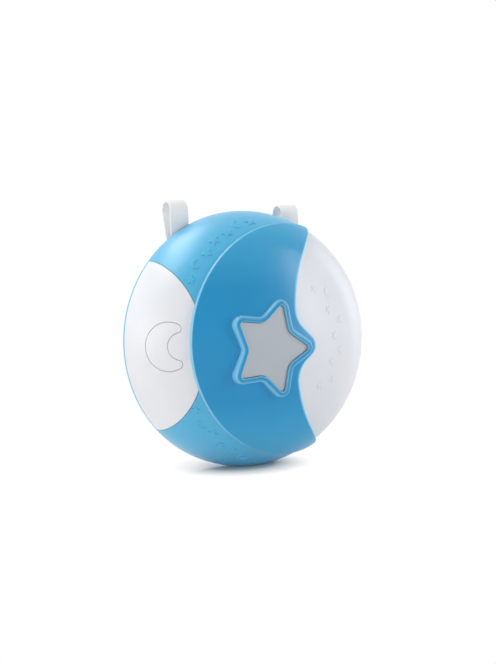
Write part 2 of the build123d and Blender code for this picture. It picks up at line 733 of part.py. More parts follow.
def speaker_holes():
    """Places of the speaker's screws."""
    for angle in SPEAKER_POST_ANGLES:
        x, z = at_angle(SPEAKER_R + SPEAKER_POST_OUT, angle)
        yield x, SPEAKER_Z + z


def strap_ears():
    """Four ears behind the rim plate that hold the strap bars."""
    ears = []
    profile = Pos(BAR_Y, STRAP_BAR_Z) * Circle(EAR_R)
    profile += Pos((BAR_Y + PLATE_IN) / 2, STRAP_BAR_Z) * Rectangle(BAR_Y - PLATE_IN, 2 * EAR_R)
    profile -= Pos(BAR_Y, STRAP_BAR_Z) * Circle(STRAP_BAR_R + STRAP_BAR_FIT)
    for middle in (-STRAP_X, STRAP_X):
        for side in (-1, 1):
            near = middle + side * (STRAP_W / 2 + STRAP_SIDE_GAP)
            ears.append(extrude(Plane.YZ.offset(near) * profile, side * EAR_T))
    return ears


def heel():
    """Moulded heel that carries the standing flat backwards."""
    top = STAND_FLAT - DRUM_R
    side = make_face(Polyline(
        (PLATE_IN, STAND_FLAT - RIM_R), (FOOT_REACH, STAND_FLAT - RIM_R),
        (BACK_Y - DRUM_ROUND, top), (PLATE_IN, top), close=True))
    block = extrude(Plane.YZ.offset(-FOOT_W / 2) * side, FOOT_W)
    return fillet(block.edges().filter_by(Axis.Z, tolerance=25).sort_by(Axis.Y)[-2:], FOOT_W / 4)


def rear_housing():
    """Blue back with the battery box, switch slot, sound slots, strap ears and heel."""
    piece = rear_shape() + locating_lip() + battery_box() + heel()
    for ear in strap_ears():
        piece += ear
    for x, z in main_holes():
        piece += disc(x, z, STANDOFF_R, -BOX_FRONT, -MAIN_BACK)
    for x, z in led_holes():
        piece += disc(x, z, STANDOFF_R, -PLATE_IN, LED_BACK)
    for x, z in slide_holes():
        piece += disc(x, z, STANDOFF_R, -BACK_IN, -SLIDE_PLATE)
    for x, z in speaker_holes():
        piece += disc(x, z, STANDOFF_R, -BACK_IN, -SPEAKER_BACK)
    piece += disc(0, door_screw_z(), BOSS_R, -DOOR_IN, -DOOR_IN + 2 * BOARD_BITE)
    piece -= behind(Pos(0, BOX_Z) * Rectangle(BOX_L, BOX_H), BOX_IN, BACK_Y)
    piece -= behind(door_outline(0), DOOR_IN, BACK_Y)
    return drilled_rear(piece) - standing_cut(STAND_RELIEF)


def drilled_rear(piece):
    """Holes and slots of the rear housing."""
    for angle in FRONT_BOSS_ANGLES + PANEL_BOSS_ANGLES + LIGHT_BOSS_ANGLES:
        x, z = at_angle(BOSS_AT, angle)
        piece -= screw_hole(x, z, -BAND_W, -PLATE_IN)
    for x, z in main_holes():
        piece -= screw_hole(x, z, -MAIN_BACK - BOARD_BITE, -MAIN_BACK)
    for x, z in led_holes():
        piece -= screw_hole(x, z, LED_BACK - BOARD_BITE, LED_BACK)
    for x, z in slide_holes():
        piece -= screw_hole(x, z, -SLIDE_PLATE - BOARD_BITE, -SLIDE_PLATE)
    for x, z in speaker_holes():
        piece -= screw_hole(x, z, -SPEAKER_BACK - SPEAKER_FLANGE_T, -SPEAKER_BACK)
    piece -= screw_hole(0, door_screw_z(), -DOOR_IN, -DOOR_IN + BOARD_BITE)
    piece -= behind(slider_slot(), BACK_IN, BACK_Y)
    for slot in sound_slots():
        piece -= behind(slot, BACK_IN, BACK_Y)
    return piece


def slider_slot():
    """Slot that the slider's knob runs in."""
    length = SLIDER_L + SLIDER_TRAVEL + 2 * SLIDER_GAP
    return Pos(SLIDER_X, SLIDER_Z) * round_box(SLIDER_W + 2 * SLIDER_GAP, length, SLIDER_ROUND + SLIDER_GAP)


def sound_slots():
    """Row of slots behind the speaker, as many and as long as the round cone allows."""
    reach = SPEAKER_R - SPEAKER_FLANGE - SLOT_W
    count = floor((reach - SLOT_W) / SLOT_PITCH)
    for i in range(-count, count + 1):
        z = i * SLOT_PITCH
        length = 2 * sqrt(reach ** 2 - z ** 2)
        yield Pos(0, SPEAKER_Z + z) * SlotOverall(length, SLOT_W)


# Electrics

def board(size, x, z, holes, back):
    """Circuit board with its screw holes; back is its rear face in front of the rim."""
    plate = slab(Pos(x, z) * round_box(*size, BOARD_ROUND), back, back + BOARD_T)
    for hole in holes:
        plate -= screw_hole(*hole, back, back + BOARD_T)
    return plate


def main_board_parts():
    """Chip, capacitor and three plugs on the main board."""
    top = BOARD_T - MAIN_BACK
    chip_w, chip_h = CHIP
    can_x, can_r, can_h = CAN
    plug_w, plug_l, plug_h = PLUG
    group = [slab(Pos(0, BOX_Z) * Rectangle(chip_w, chip_w), top, top + chip_h)]
    group.append(disc(can_x, BOX_Z, can_r, top, top + can_h))
    for z in (-PLUG_PITCH, 0, PLUG_PITCH):
        group.append(slab(Pos(PLUG_X, BOX_Z + z) * Rectangle(plug_w, plug_l), top, top + plug_h))
    return Compound(group)


def leds():
    """Round lamps on the lamp board."""
    group = []
    top = LED_BACK + BOARD_T
    for i in range(LED_COUNT):
        z = (i - (LED_COUNT - 1) / 2) * LED_PITCH
        lamp = disc(LED_BOARD_X, z, LED_R, top, top + LED_H)
        lamp += Pos(LED_BOARD_X, -top - LED_H, z) * Sphere(LED_R)
        group.append(lamp)
    return Compound(group)


def speaker_turned(points):
    """Solid of revolution about the speaker's axis."""
    return Pos(0, 0, SPEAKER_Z) * turned(points)


def speaker_basket():
    """Flange and conical frame of the speaker."""
    neck = SPEAKER_BACK - SPEAKER_DEPTH
    rim = SPEAKER_R - SPEAKER_FLANGE
    return speaker_turned((
        (SPEAKER_R, BACK_IN), (SPEAKER_R, SPEAKER_BACK), (rim + SPEAKER_WALL, SPEAKER_BACK),
        (SPEAKER_THROAT_R + SPEAKER_WALL, neck), (0, neck), (0, neck + SPEAKER_WALL),
        (SPEAKER_THROAT_R, neck + SPEAKER_WALL), (rim, SPEAKER_BACK), (rim, BACK_IN)))


def speaker_magnet():
    """Magnet on the basket's neck."""
    neck = SPEAKER_BACK - SPEAKER_DEPTH
    return disc(0, SPEAKER_Z, MAGNET_R, -neck, MAGNET_H - neck)


def speaker_cone():
    """Paper cone with its dust cap."""
    rim = SPEAKER_R - SPEAKER_FLANGE - CONE_GAP
    neck = SPEAKER_BACK - SPEAKER_DEPTH + SPEAKER_WALL + CONE_GAP
    throat = SPEAKER_THROAT_R - CONE_GAP
    return speaker_turned((
        (rim, SPEAKER_BACK + CONE_GAP), (throat, neck), (0, neck), (0, neck + CONE_T),
        (throat - CONE_T, neck + CONE_T), (rim - 2 * CONE_T, SPEAKER_BACK + CONE_GAP)))


def battery_cells():
    """Three cells side by side, each turned about."""
    group = []
    for i in range(CELL_COUNT):
        side = 1 if i % 2 else -1
        z = BOX_Z + (i - (CELL_COUNT - 1) / 2) * (2 * CELL_R + CELL_GAP)
        middle = Pos(-side * NUB_L / 2, CELL_Y, z) * Rot(0, 90, 0)
        cell = middle * Cylinder(CELL_R, CELL_L)
        cell += Pos(side * CELL_L / 2, CELL_Y, z) * Rot(0, 90, 0) * Cylinder(NUB_R, NUB_L)
        group.append(cell)
    return Compound(group)


def battery_contacts():
    """Bowed leaf contacts at both ends of each cell."""
    group = []
    bow = CONTACT_ROOM - SEAT_GAP
    for i in range(CELL_COUNT):
        z = BOX_Z + (i - (CELL_COUNT - 1) / 2) * (2 * CELL_R + CELL_GAP)
        for side in (-1, 1):
            wall = side * BOX_L / 2
            outer = ThreePointArc(
                (wall, CELL_Y - CONTACT_H / 2), (wall - side * bow, CELL_Y), (wall, CELL_Y + CONTACT_H / 2))
            inner = ThreePointArc(
                (wall, CELL_Y - CONTACT_H / 2 + CONTACT_T), (wall - side * (bow - CONTACT_T), CELL_Y),
                (wall, CELL_Y + CONTACT_H / 2 - CONTACT_T))
            feet = [Line(outer @ 0, inner @ 0), Line(outer @ 1, inner @ 1)]
            leaf = make_face([*outer.edges(), *inner.edges(), *feet[0].edges(), *feet[1].edges()])
            group.append(extrude(Plane.XY.offset(z - CONTACT_W / 2) * leaf, CONTACT_W))
    return Compound(group)


def battery_door():
    """Screwed door, flush with the flat back."""
    plate = behind(door_outline(DOOR_GAP), DOOR_IN, BACK_Y)
    return plate - screw_hole(0, door_screw_z(), -BACK_Y, -DOOR_IN)


def slide_switch():
    """Body of the power switch, with two screwed ears."""
    width, length, height = SLIDE_BODY
    place = Pos(SLIDER_X, SLIDER_Z)
    body = behind(place * Rectangle(width, length - STANDOFF_R), SLIDE_PLATE, SLIDE_TOP)
    plate = round_box(width, length + 2 * SLIDE_EAR, BOARD_ROUND)
    body += behind(place * plate, SLIDE_PLATE - SLIDE_PLATE_T, SLIDE_PLATE)
    for x, z in slide_holes():
        body -= screw_hole(x, z, -SLIDE_PLATE, SLIDE_PLATE_T - SLIDE_PLATE)
    return body


def power_slider():
    """Knob of the power switch, at the middle of its slot."""
    place = Pos(SLIDER_X, SLIDER_Z)
    foot = SLIDE_TOP + SLIDER_GAP
    knob = behind(place * round_box(SLIDER_W, SLIDER_L, SLIDER_ROUND), foot, BACK_Y + SLIDER_PROUD)
    flange = Rectangle(SLIDER_W + 2 * SLIDER_FLANGE, SLIDER_L + 2 * SLIDER_FLANGE)
    return knob + behind(place * flange, foot, foot + SLIDER_FLANGE_T)


def housing_screws():
    """Screws from the rim plate into the front bosses."""
    group = []
    for angle in FRONT_BOSS_ANGLES + PANEL_BOSS_ANGLES + LIGHT_BOSS_ANGLES:
        group.append(screw(*at_angle(BOSS_AT, angle), -BAND_W, REAR_WALL + BOSS_BITE))
    return Compound(group)


# Straps

def loop_outline(grow, top):
    """Inside of a webbing loop moved out by an offset: round its bar, wider at the top."""
    low = Vector(BAR_Y, STRAP_BAR_Z)
    high = Vector(LOOP_Y, top - STRAP_T - STRAP_TOP_R)
    low_r, high_r = STRAP_BAR_R + STRAP_SLACK + grow, STRAP_TOP_R + grow
    along = high - low
    lean = atan2(along.Y, along.X)
    spread = acos((low_r - high_r) / along.length)

    def on(middle, radius, angle):
        return middle + Vector(radius * cos(angle), radius * sin(angle))

    left, right = lean + spread, lean - spread
    crown = ThreePointArc(on(high, high_r, right), on(high, high_r, lean), on(high, high_r, left))
    base = ThreePointArc(on(low, low_r, left), on(low, low_r, lean + pi), on(low, low_r, right))
    sides = [Line(crown @ 1, base @ 0), Line(base @ 1, crown @ 0)]
    return make_face([*crown.edges(), *sides[0].edges(), *base.edges(), *sides[1].edges()])


def across(outline, middle, width):
    """Prism of a side-view outline, centred on a place across the light."""
    return extrude(Plane.YZ.offset(middle - width / 2) * outline, width)


def strap(side, middle):
    """Webbing loop round its bar."""
    top = RIM_R + STRAP_RISE[side]
    return across(loop_outline(STRAP_T, top) - loop_outline(0, top), middle, STRAP_W)


def strap_patch(side, middle):
    """Closure patch on the back of a loop."""
    top = RIM_R + STRAP_RISE[side]
    layer = loop_outline(STRAP_T + PATCH_T, top) - loop_outline(STRAP_T, top)
    low = STRAP_BAR_Z + PATCH_FROM
    window = Pos(BAR_Y + RIM_R / 2, low + PATCH_L / 2) * Rectangle(RIM_R, PATCH_L)
    return across(layer & window, middle, STRAP_W)


def strap_bar(middle):
    """Steel bar through two ears."""
    length = STRAP_W + 2 * STRAP_SIDE_GAP + 2 * EAR_T
    return across(Pos(BAR_Y, STRAP_BAR_Z) * Circle(STRAP_BAR_R), middle, length)


def pieces():
    """Every node of the light, by name."""
    main_place = (0, BOX_Z, list(main_holes()), -MAIN_BACK)
    led_place = (LED_BOARD_X, 0, list(led_holes()), LED_BACK)
    yield "rear_housing", rear_housing()
    yield "front_housing", front_housing()
    yield "moon_panel", moon_panel()
    yield "light_dome", light_dome()
    yield "center_cover", center_cover()
    yield "cover_screws", cover_screws()
    yield "housing_screws", housing_screws()
    yield "star_button", star_button()
    yield "star_clip", star_clip()
    yield "star_return_pad", star_return_pad()
    yield "star_switch", star_switch()
    yield "star_plunger", star_plunger()
    yield "star_board", star_board()
    yield "star_board_screws", star_board_screws()
    yield "moon_button", moon_button()
    yield "moon_return_pads", moon_return_pads()
    yield "moon_switch", moon_switch()
    yield "moon_plunger", moon_plunger()
    yield "moon_board", moon_board()
    yield "moon_board_screws", moon_board_screws()
    yield "main_board", board(MAIN_BOARD, *main_place)
    yield "main_board_parts", main_board_parts()
    yield "main_board_screws", front_screws(main_holes(), BOARD_T - MAIN_BACK, BOARD_T + BOARD_BITE)
    yield "led_board", board(LED_BOARD, *led_place)
    yield "leds", leds()
    yield "led_board_screws", front_screws(led_holes(), LED_BACK + BOARD_T, BOARD_T + BOARD_BITE)
    yield "speaker_basket", speaker_basket()
    yield "speaker_magnet", speaker_magnet()
    yield "speaker_cone", speaker_cone()
    yield "speaker_screws", front_screws(speaker_holes(), -SPEAKER_BACK, SPEAKER_FLANGE_T, CLAMP_HEAD_R)
    yield "battery_cells", battery_cells()
    yield "battery_contacts", battery_contacts()
    yield "battery_door", battery_door()
    yield "battery_door_screw", screw(0, door_screw_z(), -BACK_Y, DOOR_T + BOARD_BITE)
    yield "slide_switch", slide_switch()
    yield "slide_switch_screws", front_screws(
        slide_holes(), SLIDE_PLATE_T - SLIDE_PLATE, SLIDE_PLATE_T + BOARD_BITE)
    yield "power_slider", power_slider()
    for side, middle in (("left", -STRAP_X), ("right", STRAP_X)):
        yield f"strap_bar_{side}", strap_bar(middle)
        yield f"strap_{side}", strap(side, middle)
        yield f"{side}_strap_patch", strap_patch(side, middle)


os.makedirs("parts", exist_ok=True)
for name, piece in pieces():
    export_step(PLACE * piece, f"parts/{name}.step")
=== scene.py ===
"""Child's night light: finishes, raised motifs, webbing loops, screws and a studio."""
import json
from math import acos, atan2, ceil, cos, pi, radians, sin, tau

import bmesh
import bpy
from bpy.props import FloatProperty, FloatVectorProperty, IntProperty, PointerProperty
from mathutils import Matrix, Vector


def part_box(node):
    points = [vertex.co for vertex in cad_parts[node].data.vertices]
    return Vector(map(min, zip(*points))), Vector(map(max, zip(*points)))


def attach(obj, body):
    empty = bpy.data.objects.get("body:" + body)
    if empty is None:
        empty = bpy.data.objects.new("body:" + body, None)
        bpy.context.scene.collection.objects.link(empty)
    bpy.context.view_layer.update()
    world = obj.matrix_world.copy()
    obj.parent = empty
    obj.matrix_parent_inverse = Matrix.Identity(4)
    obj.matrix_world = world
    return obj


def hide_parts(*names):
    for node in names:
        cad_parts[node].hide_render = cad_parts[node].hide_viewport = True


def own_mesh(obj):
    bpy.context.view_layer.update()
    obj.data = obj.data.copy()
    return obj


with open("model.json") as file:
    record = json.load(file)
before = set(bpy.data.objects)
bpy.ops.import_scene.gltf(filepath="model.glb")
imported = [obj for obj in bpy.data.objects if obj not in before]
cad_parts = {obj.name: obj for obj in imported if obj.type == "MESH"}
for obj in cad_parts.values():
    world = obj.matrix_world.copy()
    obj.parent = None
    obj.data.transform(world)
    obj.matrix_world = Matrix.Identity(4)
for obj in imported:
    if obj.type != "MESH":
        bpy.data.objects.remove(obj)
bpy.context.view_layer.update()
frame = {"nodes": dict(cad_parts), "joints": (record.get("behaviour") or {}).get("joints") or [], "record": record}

bl_info = {
    "name": "Night light",
    "version": (1, 0, 0),
    "blender": (4, 5, 0),
    "location": "View3D > Sidebar > Night light",
    "description": "Dresses a round night light with two push buttons and two webbing loops",
    "category": "Object",
}

MM = 0.001
CENTRE = Vector((0, -1.8 * MM, 99 * MM))  # middle of the rim
MERGE = 1e-7  # points closer than this are one
TINY = 1e-6  # keeps a division off zero


def length(name, description, default):
    """A size in metres, given in millimetres."""
    return FloatProperty(
        name=name, description=description, default=default * MM, unit="LENGTH", precision=5)


def angle(name, description, default):
    """An angle, given in degrees."""
    return FloatProperty(name=name, description=description, default=radians(default), subtype="ANGLE")


def number(name, description, default):
    """A count of at least one."""
    return IntProperty(name=name, description=description, default=default, min=1)


def colour(name, description, default):
    """A colour, given as display values from 0 to 255."""
    linear = [((v / 255 + 0.055) / 1.055) ** 2.4 if v > 10 else v / 255 / 12.92 for v in default]
    return FloatVectorProperty(
        name=name, description=description, default=linear, subtype="COLOR", size=3, min=0, max=1)


class NightLightSizes(bpy.types.PropertyGroup):
    """Sizes of the dome and of the pieces that dress it"""
    rim_r: length("Rim radius", "Radius of the rim", 100)
    knuckle_r: length("Edge radius", "Radius of the dome's turned-down edge", 50)
    crown_r: length("Crown radius", "Radius of the dome's middle", 180)
    dome_h: length("Dome height", "Dome in front of the rim", 60)
    arc_x: length("Cover arc place", "Middle of the cover's left arc", 21.7)
    arc_r: length("Cover arc radius", "Radius of the cover's left arc", 89)
    # Widths of the cover's painted highlights along its left arc and its wave edge
    arc_edge: length("Cover arc edge", "Width of the pale edge along the cover's left arc", 1.0)
    wave_edge: length("Cover wave edge", "Width of the pale edge along the cover's wave", 2.5)
    # The cover's top and bottom are painted paler: where that starts and over what height
    fade_from: length("Cover fade start", "Height over the middle where the cover starts to pale", 42)
    fade_l: length("Cover fade length", "Height over which the cover pales", 52)
    seam_x: length("Panel seam place", "Middle of the moon panel's seam circle", -171.1)
    seam_r: length("Panel seam radius", "Radius of the moon panel's seam circle", 114.4)
    seam_w: length("Panel seam width", "Width of the shaded edge along the panel's seam", 0.8)
    motif_out: length("Motif distance", "Motifs outside the cover's arc", 8)
    motif_r: length("Motif radius", "Outer radius of a raised motif", 4.5)
    motif_relief: length("Motif relief", "Height of a raised motif", 0.55)
    light_relief: length("Light motif relief", "Height of a motif on the light dome", 0.32)
    light_motif_r: length("Light motif radius", "Outer radius of a motif on the light dome", 3.6)
    light_motif_ring: length("Light motif ring", "Distance of the light dome's motifs from the axis", 56)
    strap_x: length("Strap place", "Middle of each strap from the middle of the light", 48.2)
    strap_w: length("Strap width", "Width of the webbing", 15)
    strap_t: length("Strap thickness", "Thickness of the webbing", 1.4)
    bar_r: length("Bar radius", "Inside of the loop round its bar", 2.3)
    bar_y: length("Bar depth", "Bar behind the rim's front", 8.4)
    bar_z: length("Bar height", "Bar above the middle of the rim", 70)
    loop_r: length("Loop radius", "Inside of the loop at its top", 7)
    loop_y: length("Loop depth", "Top of the loop behind the rim's front", 12.6)
    left_top: length("Left loop top", "Top of the left loop above the middle of the rim", 110)
    right_top: length("Right loop top", "Top of the right loop above the middle of the rim", 104)
    patch_t: length("Patch thickness", "Thickness of the closure patch", 1)
    patch_from: length("Patch start", "Patch above the bar", 8)
    patch_l: length("Patch length", "Length of the closure patch", 18)
    stitch_l: length("Stitch length", "Length of one stitch", 1.9)
    stitch_pitch: length("Stitch pitch", "Distance between stitches", 2.6)
    screw_r: length("Screw head radius", "Radius of a screw's head", 2.8)
    screw_h: length("Screw head height", "Height of a screw's head", 1.8)
    screw_ring: length("Screw ring", "Distance of the housing screws from the axis", 86)
    rib_h: length("Grip rib height", "Height of a rib on the power slider", 0.45)
    rib_pitch: length("Grip rib pitch", "Distance between the slider's ribs", 1.5)
    motif_step: angle("Motif step", "Turn from one motif to the next", 7.2)
    light_step: angle("Light motif step", "Turn from one light-dome motif to the next", 11.4)
    top_motifs: number("Top motifs", "Motifs above the moon panel", 7)
    low_motifs: number("Low motifs", "Motifs below the moon panel", 6)
    light_motifs: number("Light motifs", "Motifs on the light dome", 9)


class NightLightColours(bpy.types.PropertyGroup):
    """Colours of the finishes"""
    body: colour("Body", "Blue of the housing", (74, 180, 224))
    cover: colour("Cover", "Blue of the raised cover", (18, 144, 200))
    # Painted highlight: the body's and cover's edges, and the cover's arc, flanks and wave edge, are tinted
    # towards this paler blue
    edge: colour("Cover edge", "Paler blue along moulded edges", (150, 218, 248))
    # The panel's white is also the painted highlight at the light dome's edges
    panel: colour("Panel", "White of the moon panel", (231, 236, 242))
    seam: colour("Seam", "Grey blue along the moon panel's edges", (112, 152, 172))
    light: colour("Light dome", "White of the light dome", (222, 228, 236))
    silver: colour("Star", "Satin silver of the star button", (168, 176, 184))
    webbing: colour("Webbing", "White of the straps", (250, 251, 253))
    thread: colour("Thread", "Sewing thread", (236, 237, 242))
    steel: colour("Steel", "Plated steel", (176, 178, 182))
    # The rubber's grey is also the painted highlight at the edges of the black plastic
    rubber: colour("Rubber", "Return sleeves", (120, 122, 126))
    board: colour("Board", "Circuit board", (36, 112, 58))
    black: colour("Black", "Black plastic", (36, 36, 39))
    brass: colour("Contact", "Plated contact", (206, 188, 140))
    floor: colour("Floor", "Studio floor", (243, 234, 228))


class Wire:
    """A socket in a node tree, with the arithmetic that the trees use."""

    def __init__(self, graph, socket):
        self.graph, self.socket = graph, socket

    def __add__(self, other):
        return self.graph.maths("ADD", self, other)

    def __sub__(self, other):
        return self.graph.maths("SUBTRACT", self, other)

    def __rsub__(self, other):
        return self.graph.maths("SUBTRACT", other, self)

    def __mul__(self, other):
        return self.graph.maths("MULTIPLY", self, other)

    def __truediv__(self, other):
        return self.graph.maths("DIVIDE", self, other)

    def __rtruediv__(self, other):
        return self.graph.maths("DIVIDE", other, self)

    __radd__ = __add__
    __rmul__ = __mul__


class Graph:
    """Builds one node tree, for a finish or for geometry."""

    def __init__(self, tree):
        self.tree = tree

    def node(self, kind, settings=(), inputs=(), output=0):
        """Makes any node: its settings first, then the values or links of its sockets."""
        made = self.tree.nodes.new(kind)
        for key, value in dict(settings).items():
            if key == "points":
                line = made.mapping.curves[0].points
                for point, place in zip(line, (value[0], value[-1])):
                    point.location = place
                for place in value[1:-1]:
                    line.new(*place)
                made.mapping.update()
            else:
                setattr(made, key, value)
        for key, value in dict(inputs).items():
            self.feed(made.inputs[key], value)
        return Wire(self, made.outputs[output])

    def feed(self, socket, value):
        """Links a wire to a socket, or sets its value."""
        if isinstance(value, Wire):
            self.tree.links.new(value.socket, socket)
        else:
            socket.default_value = value

    def maths(self, operation, a, b=0.0, clamp=False):
        return self.node("ShaderNodeMath", {"operation": operation, "use_clamp": clamp}, {0: a, 1: b})

    def vector(self, operation, a, b=(0, 0, 0), scale=1.0):
        output = 1 if operation == "DOT_PRODUCT" else 0
        return self.node(
            "ShaderNodeVectorMath", {"operation": operation}, {0: a, 1: b, 3: scale}, output)

    def split(self, vector):
        """The three numbers of a vector."""
        made = self.node("ShaderNodeSeparateXYZ", (), {0: vector})
        return [Wire(self, socket) for socket in made.socket.node.outputs]

    def join(self, x, y, z):
        return self.node("ShaderNodeCombineXYZ", (), {0: x, 1: y, 2: z})

    def mix(self, share, first, second):
        """Blend of two colours."""
        return self.node("ShaderNodeMix", {"data_type": "RGBA"}, {0: share, 6: first, 7: second}, 2)

    def dome(self, place, rim, edge, crown, height):
        """Outward direction of the dome near a place, and the middle and radius of its curve there."""
        x, y, z = self.split(place)
        radius = self.maths("SQRT", x * x + z * z)
        hub = rim - edge
        depth = crown - height
        on_edge = self.maths("GREATER_THAN", radius * depth, (depth - y) * hub)
        share = on_edge * hub / self.maths("MAXIMUM", radius, TINY)
        middle = self.join(x * share, depth * (1.0 - on_edge), z * share)
        way = self.vector("NORMALIZE", self.vector("SUBTRACT", place, middle))
        return way, middle, crown + on_edge * (edge - crown)

    def noise(self, place, scale, detail=2.0, rough=0.5):
        return self.node("ShaderNodeTexNoise", (), {
            "Vector": place, "Scale": scale, "Detail": detail, "Roughness": rough})

    def wave(self, distance, pitch):
        """Smooth wave of a length, from 0 to 1."""
        return self.maths("SINE", distance * (tau / pitch)) * 0.5 + 0.5


def rgba(values, gain=1.0):
    """A colour with its alpha, made lighter or darker."""
    return tuple(min(1.0, v * gain) for v in values) + (1.0,)


def right_edge(node, count):
    """Rows of a node's right edge: height and reach to the right, as shares of its box."""
    low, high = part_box(node)
    mesh = frame["nodes"][node].data
    points = [vert.co for vert in mesh.vertices]
    reach = [low.x] * (count + 1)
    step = (high.z - low.z) / count
    for edge in mesh.edges:
        a, b = sorted((points[i] for i in edge.vertices), key=lambda point: point.z)
        for row in range(ceil((a.z - low.z) / step), int((b.z - low.z) / step) + 1):
            if b.z > a.z:
                x = a.x + (b.x - a.x) * (low.z + row * step - a.z) / (b.z - a.z)
                reach[row] = max(reach[row], x)
    return [(row / count, (reach[row] - low.x) / (high.x - low.x)) for row in range(1, count)]


# These radii round the shading of sharp edges and also set how wide the painted edge tint is
SOFT_EDGE = 0.45 * MM  # rounding of a sharp edge
COVER_EDGE = 1.2 * MM  # the cover's softer one
EDGE_SAMPLES = 6

# Moulded plastic: noise scales of its broad and fine grain, and how far they move tone and roughness
CLOUD_SCALE, FINE_SCALE = 22.0, 2400.0
TONE_SPREAD = 0.04
CLOUD_ROUGH, FINE_ROUGH = 0.08, 0.06
GRAIN_DEPTH = 0.06 * MM

# Its painted edge bands, highlights on the cover and a darker seam line on the panel: how fast each one falls off
# and how strong it gets
ARC_GAIN, ARC_SHARE = 1.4, 0.8
FLANK_HIGHLIGHT_GAIN, FLANK_HIGHLIGHT_SHARE = 3.0, 0.7
WAVE_HIGHLIGHT_GAIN, WAVE_HIGHLIGHT_SHARE = 1.6, 0.85
WAVE_ROWS = 48
# How far the cover's ends are painted paler, standing in for light falling on them from above and below
ENDS_PAINTED_LIGHT_SHARE = 0.8


class Finish:
    """One material and its shader, with the sockets that a finish changes."""

    def __init__(self, name, **fixed):
        self.material = bpy.data.materials.new(name)
        self.material.use_nodes = True
        self.graph = Graph(self.material.node_tree)
        self.shader = self.material.node_tree.nodes["Principled BSDF"]
        for key, value in fixed.items():
            self.shader.inputs[key.replace("_", " ")].default_value = value
        self.place = self.graph.node("ShaderNodeTexCoord", output="Object")

    def set(self, **values):
        for key, value in values.items():
            self.graph.feed(self.shader.inputs[key.replace("_", " ")], value)

    def soft_edges(self, radius=SOFT_EDGE):
        """Normal that rounds sharp edges a little."""
        return self.graph.node("ShaderNodeBevel", {"samples": EDGE_SAMPLES}, {"Radius": radius})

    def bump(self, height, strength, depth, normal=None):
        """Sends a height to the shader's normal."""
        inputs = {"Height": height, "Strength": strength, "Distance": depth}
        if normal is not None:
            inputs["Normal"] = normal
        self.set(Normal=self.graph.node("ShaderNodeBump", (), inputs))


def moulded(name, base, pale, roughness, spark, edge_gain, arc=None, ends=None, dome=None,
            edge_r=SOFT_EDGE, wave=None, **fixed):
    """Moulded plastic with softened edges and a painted highlight along them (on the panel a darker seam tint);
    where asked a band along an arc, ends painted paler, and painted highlights on flanks and along a wave edge.
    """
    made = Finish(name, **fixed)
    g = made.graph
    cloud = g.noise(made.place, CLOUD_SCALE, detail=3.0)
    fine = g.noise(made.place, FINE_SCALE)
    soft = made.soft_edges(edge_r)
    # Painted highlight: at edges, where the rounded normal turns away from the face's own, the colour is tinted
    # towards the paler one (on the panel towards its darker seam colour)
    face = g.node("ShaderNodeNewGeometry", output="Normal")
    edge = g.maths("MULTIPLY", 1.0 - g.vector("DOT_PRODUCT", soft, face), edge_gain, clamp=True)
    tone = g.mix(cloud, rgba(base, 1 - TONE_SPREAD), rgba(base, 1 + TONE_SPREAD))
    # A band along an arc: on the cover a painted highlight along its left edge, on the panel its darker seam line
    if arc:
        middle, radius, width = arc
        x, _, z = g.split(g.vector("SUBTRACT", made.place, (middle, 0, CENTRE.z)))
        away = g.maths("ABSOLUTE", radius - g.maths("SQRT", x * x + z * z))
        line = g.maths("MULTIPLY", 1.0 - away / width, ARC_GAIN, clamp=True)
        edge = g.maths("MAXIMUM", edge, line * ARC_SHARE)
    # Painted light: the cover's top and bottom are painted paler, towards the body's blue, and its painted edge
    # highlights fade there
    if ends:
        start, reach, paint = ends
        _, _, z = g.split(g.vector("SUBTRACT", made.place, tuple(CENTRE)))
        fade = g.maths("DIVIDE", g.maths("ABSOLUTE", z) - start, reach, clamp=True) * ENDS_PAINTED_LIGHT_SHARE
        tone = g.mix(fade, tone, rgba(paint))
        edge = edge * (1.0 - fade)
    # Painted highlight on flanks that turn away from the dome, such as the sides of the star's bezel
    if dome:
        way, _, _ = g.dome(g.vector("SUBTRACT", made.place, tuple(CENTRE)), *dome)
        flank_highlight = g.maths("MULTIPLY", 1.0 - g.vector("DOT_PRODUCT", way, face), FLANK_HIGHLIGHT_GAIN, clamp=True)
        edge = g.maths("MAXIMUM", edge, flank_highlight * FLANK_HIGHLIGHT_SHARE)
    # Painted highlight along the cover's wave edge, placed from the part's own outline
    if wave:
        node, width = wave
        low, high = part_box(node)
        x, _, z = g.split(made.place)
        right = g.node("ShaderNodeFloatCurve", {"points": right_edge(node, WAVE_ROWS)}, {
            "Value": (z - low.z) / (high.z - low.z)})
        away = low.x + right * (high.x - low.x) - x
        line = g.maths("MULTIPLY", 1.0 - away / width, WAVE_HIGHLIGHT_GAIN, clamp=True)
        edge = g.maths("MAXIMUM", edge, line * WAVE_HIGHLIGHT_SHARE)
    made.set(
        Base_Color=g.mix(edge, tone, rgba(pale)),
        Roughness=roughness + (cloud - 0.5) * CLOUD_ROUGH + (fine - 0.5) * FINE_ROUGH)
    made.bump(fine, spark, GRAIN_DEPTH, soft)
    return made


def metal(name, base, roughness, grain_scale, **fixed):
    """Metal, plated or painted, or ferrite, with fine grain."""
    made = Finish(name, **fixed)
    g = made.graph
    grain = g.noise(made.place, grain_scale, detail=4.0, rough=0.65)
    stain = g.noise(made.place, scale=60.0)
    made.set(
        Base_Color=g.mix(grain * 0.7 + stain * 0.3, rgba(base, 0.9), rgba(base, 1.1)),
        Roughness=roughness + (grain - 0.5) * 0.14)
    made.bump(grain, strength=0.12, depth=0.03 * MM, normal=made.soft_edges())
    return made


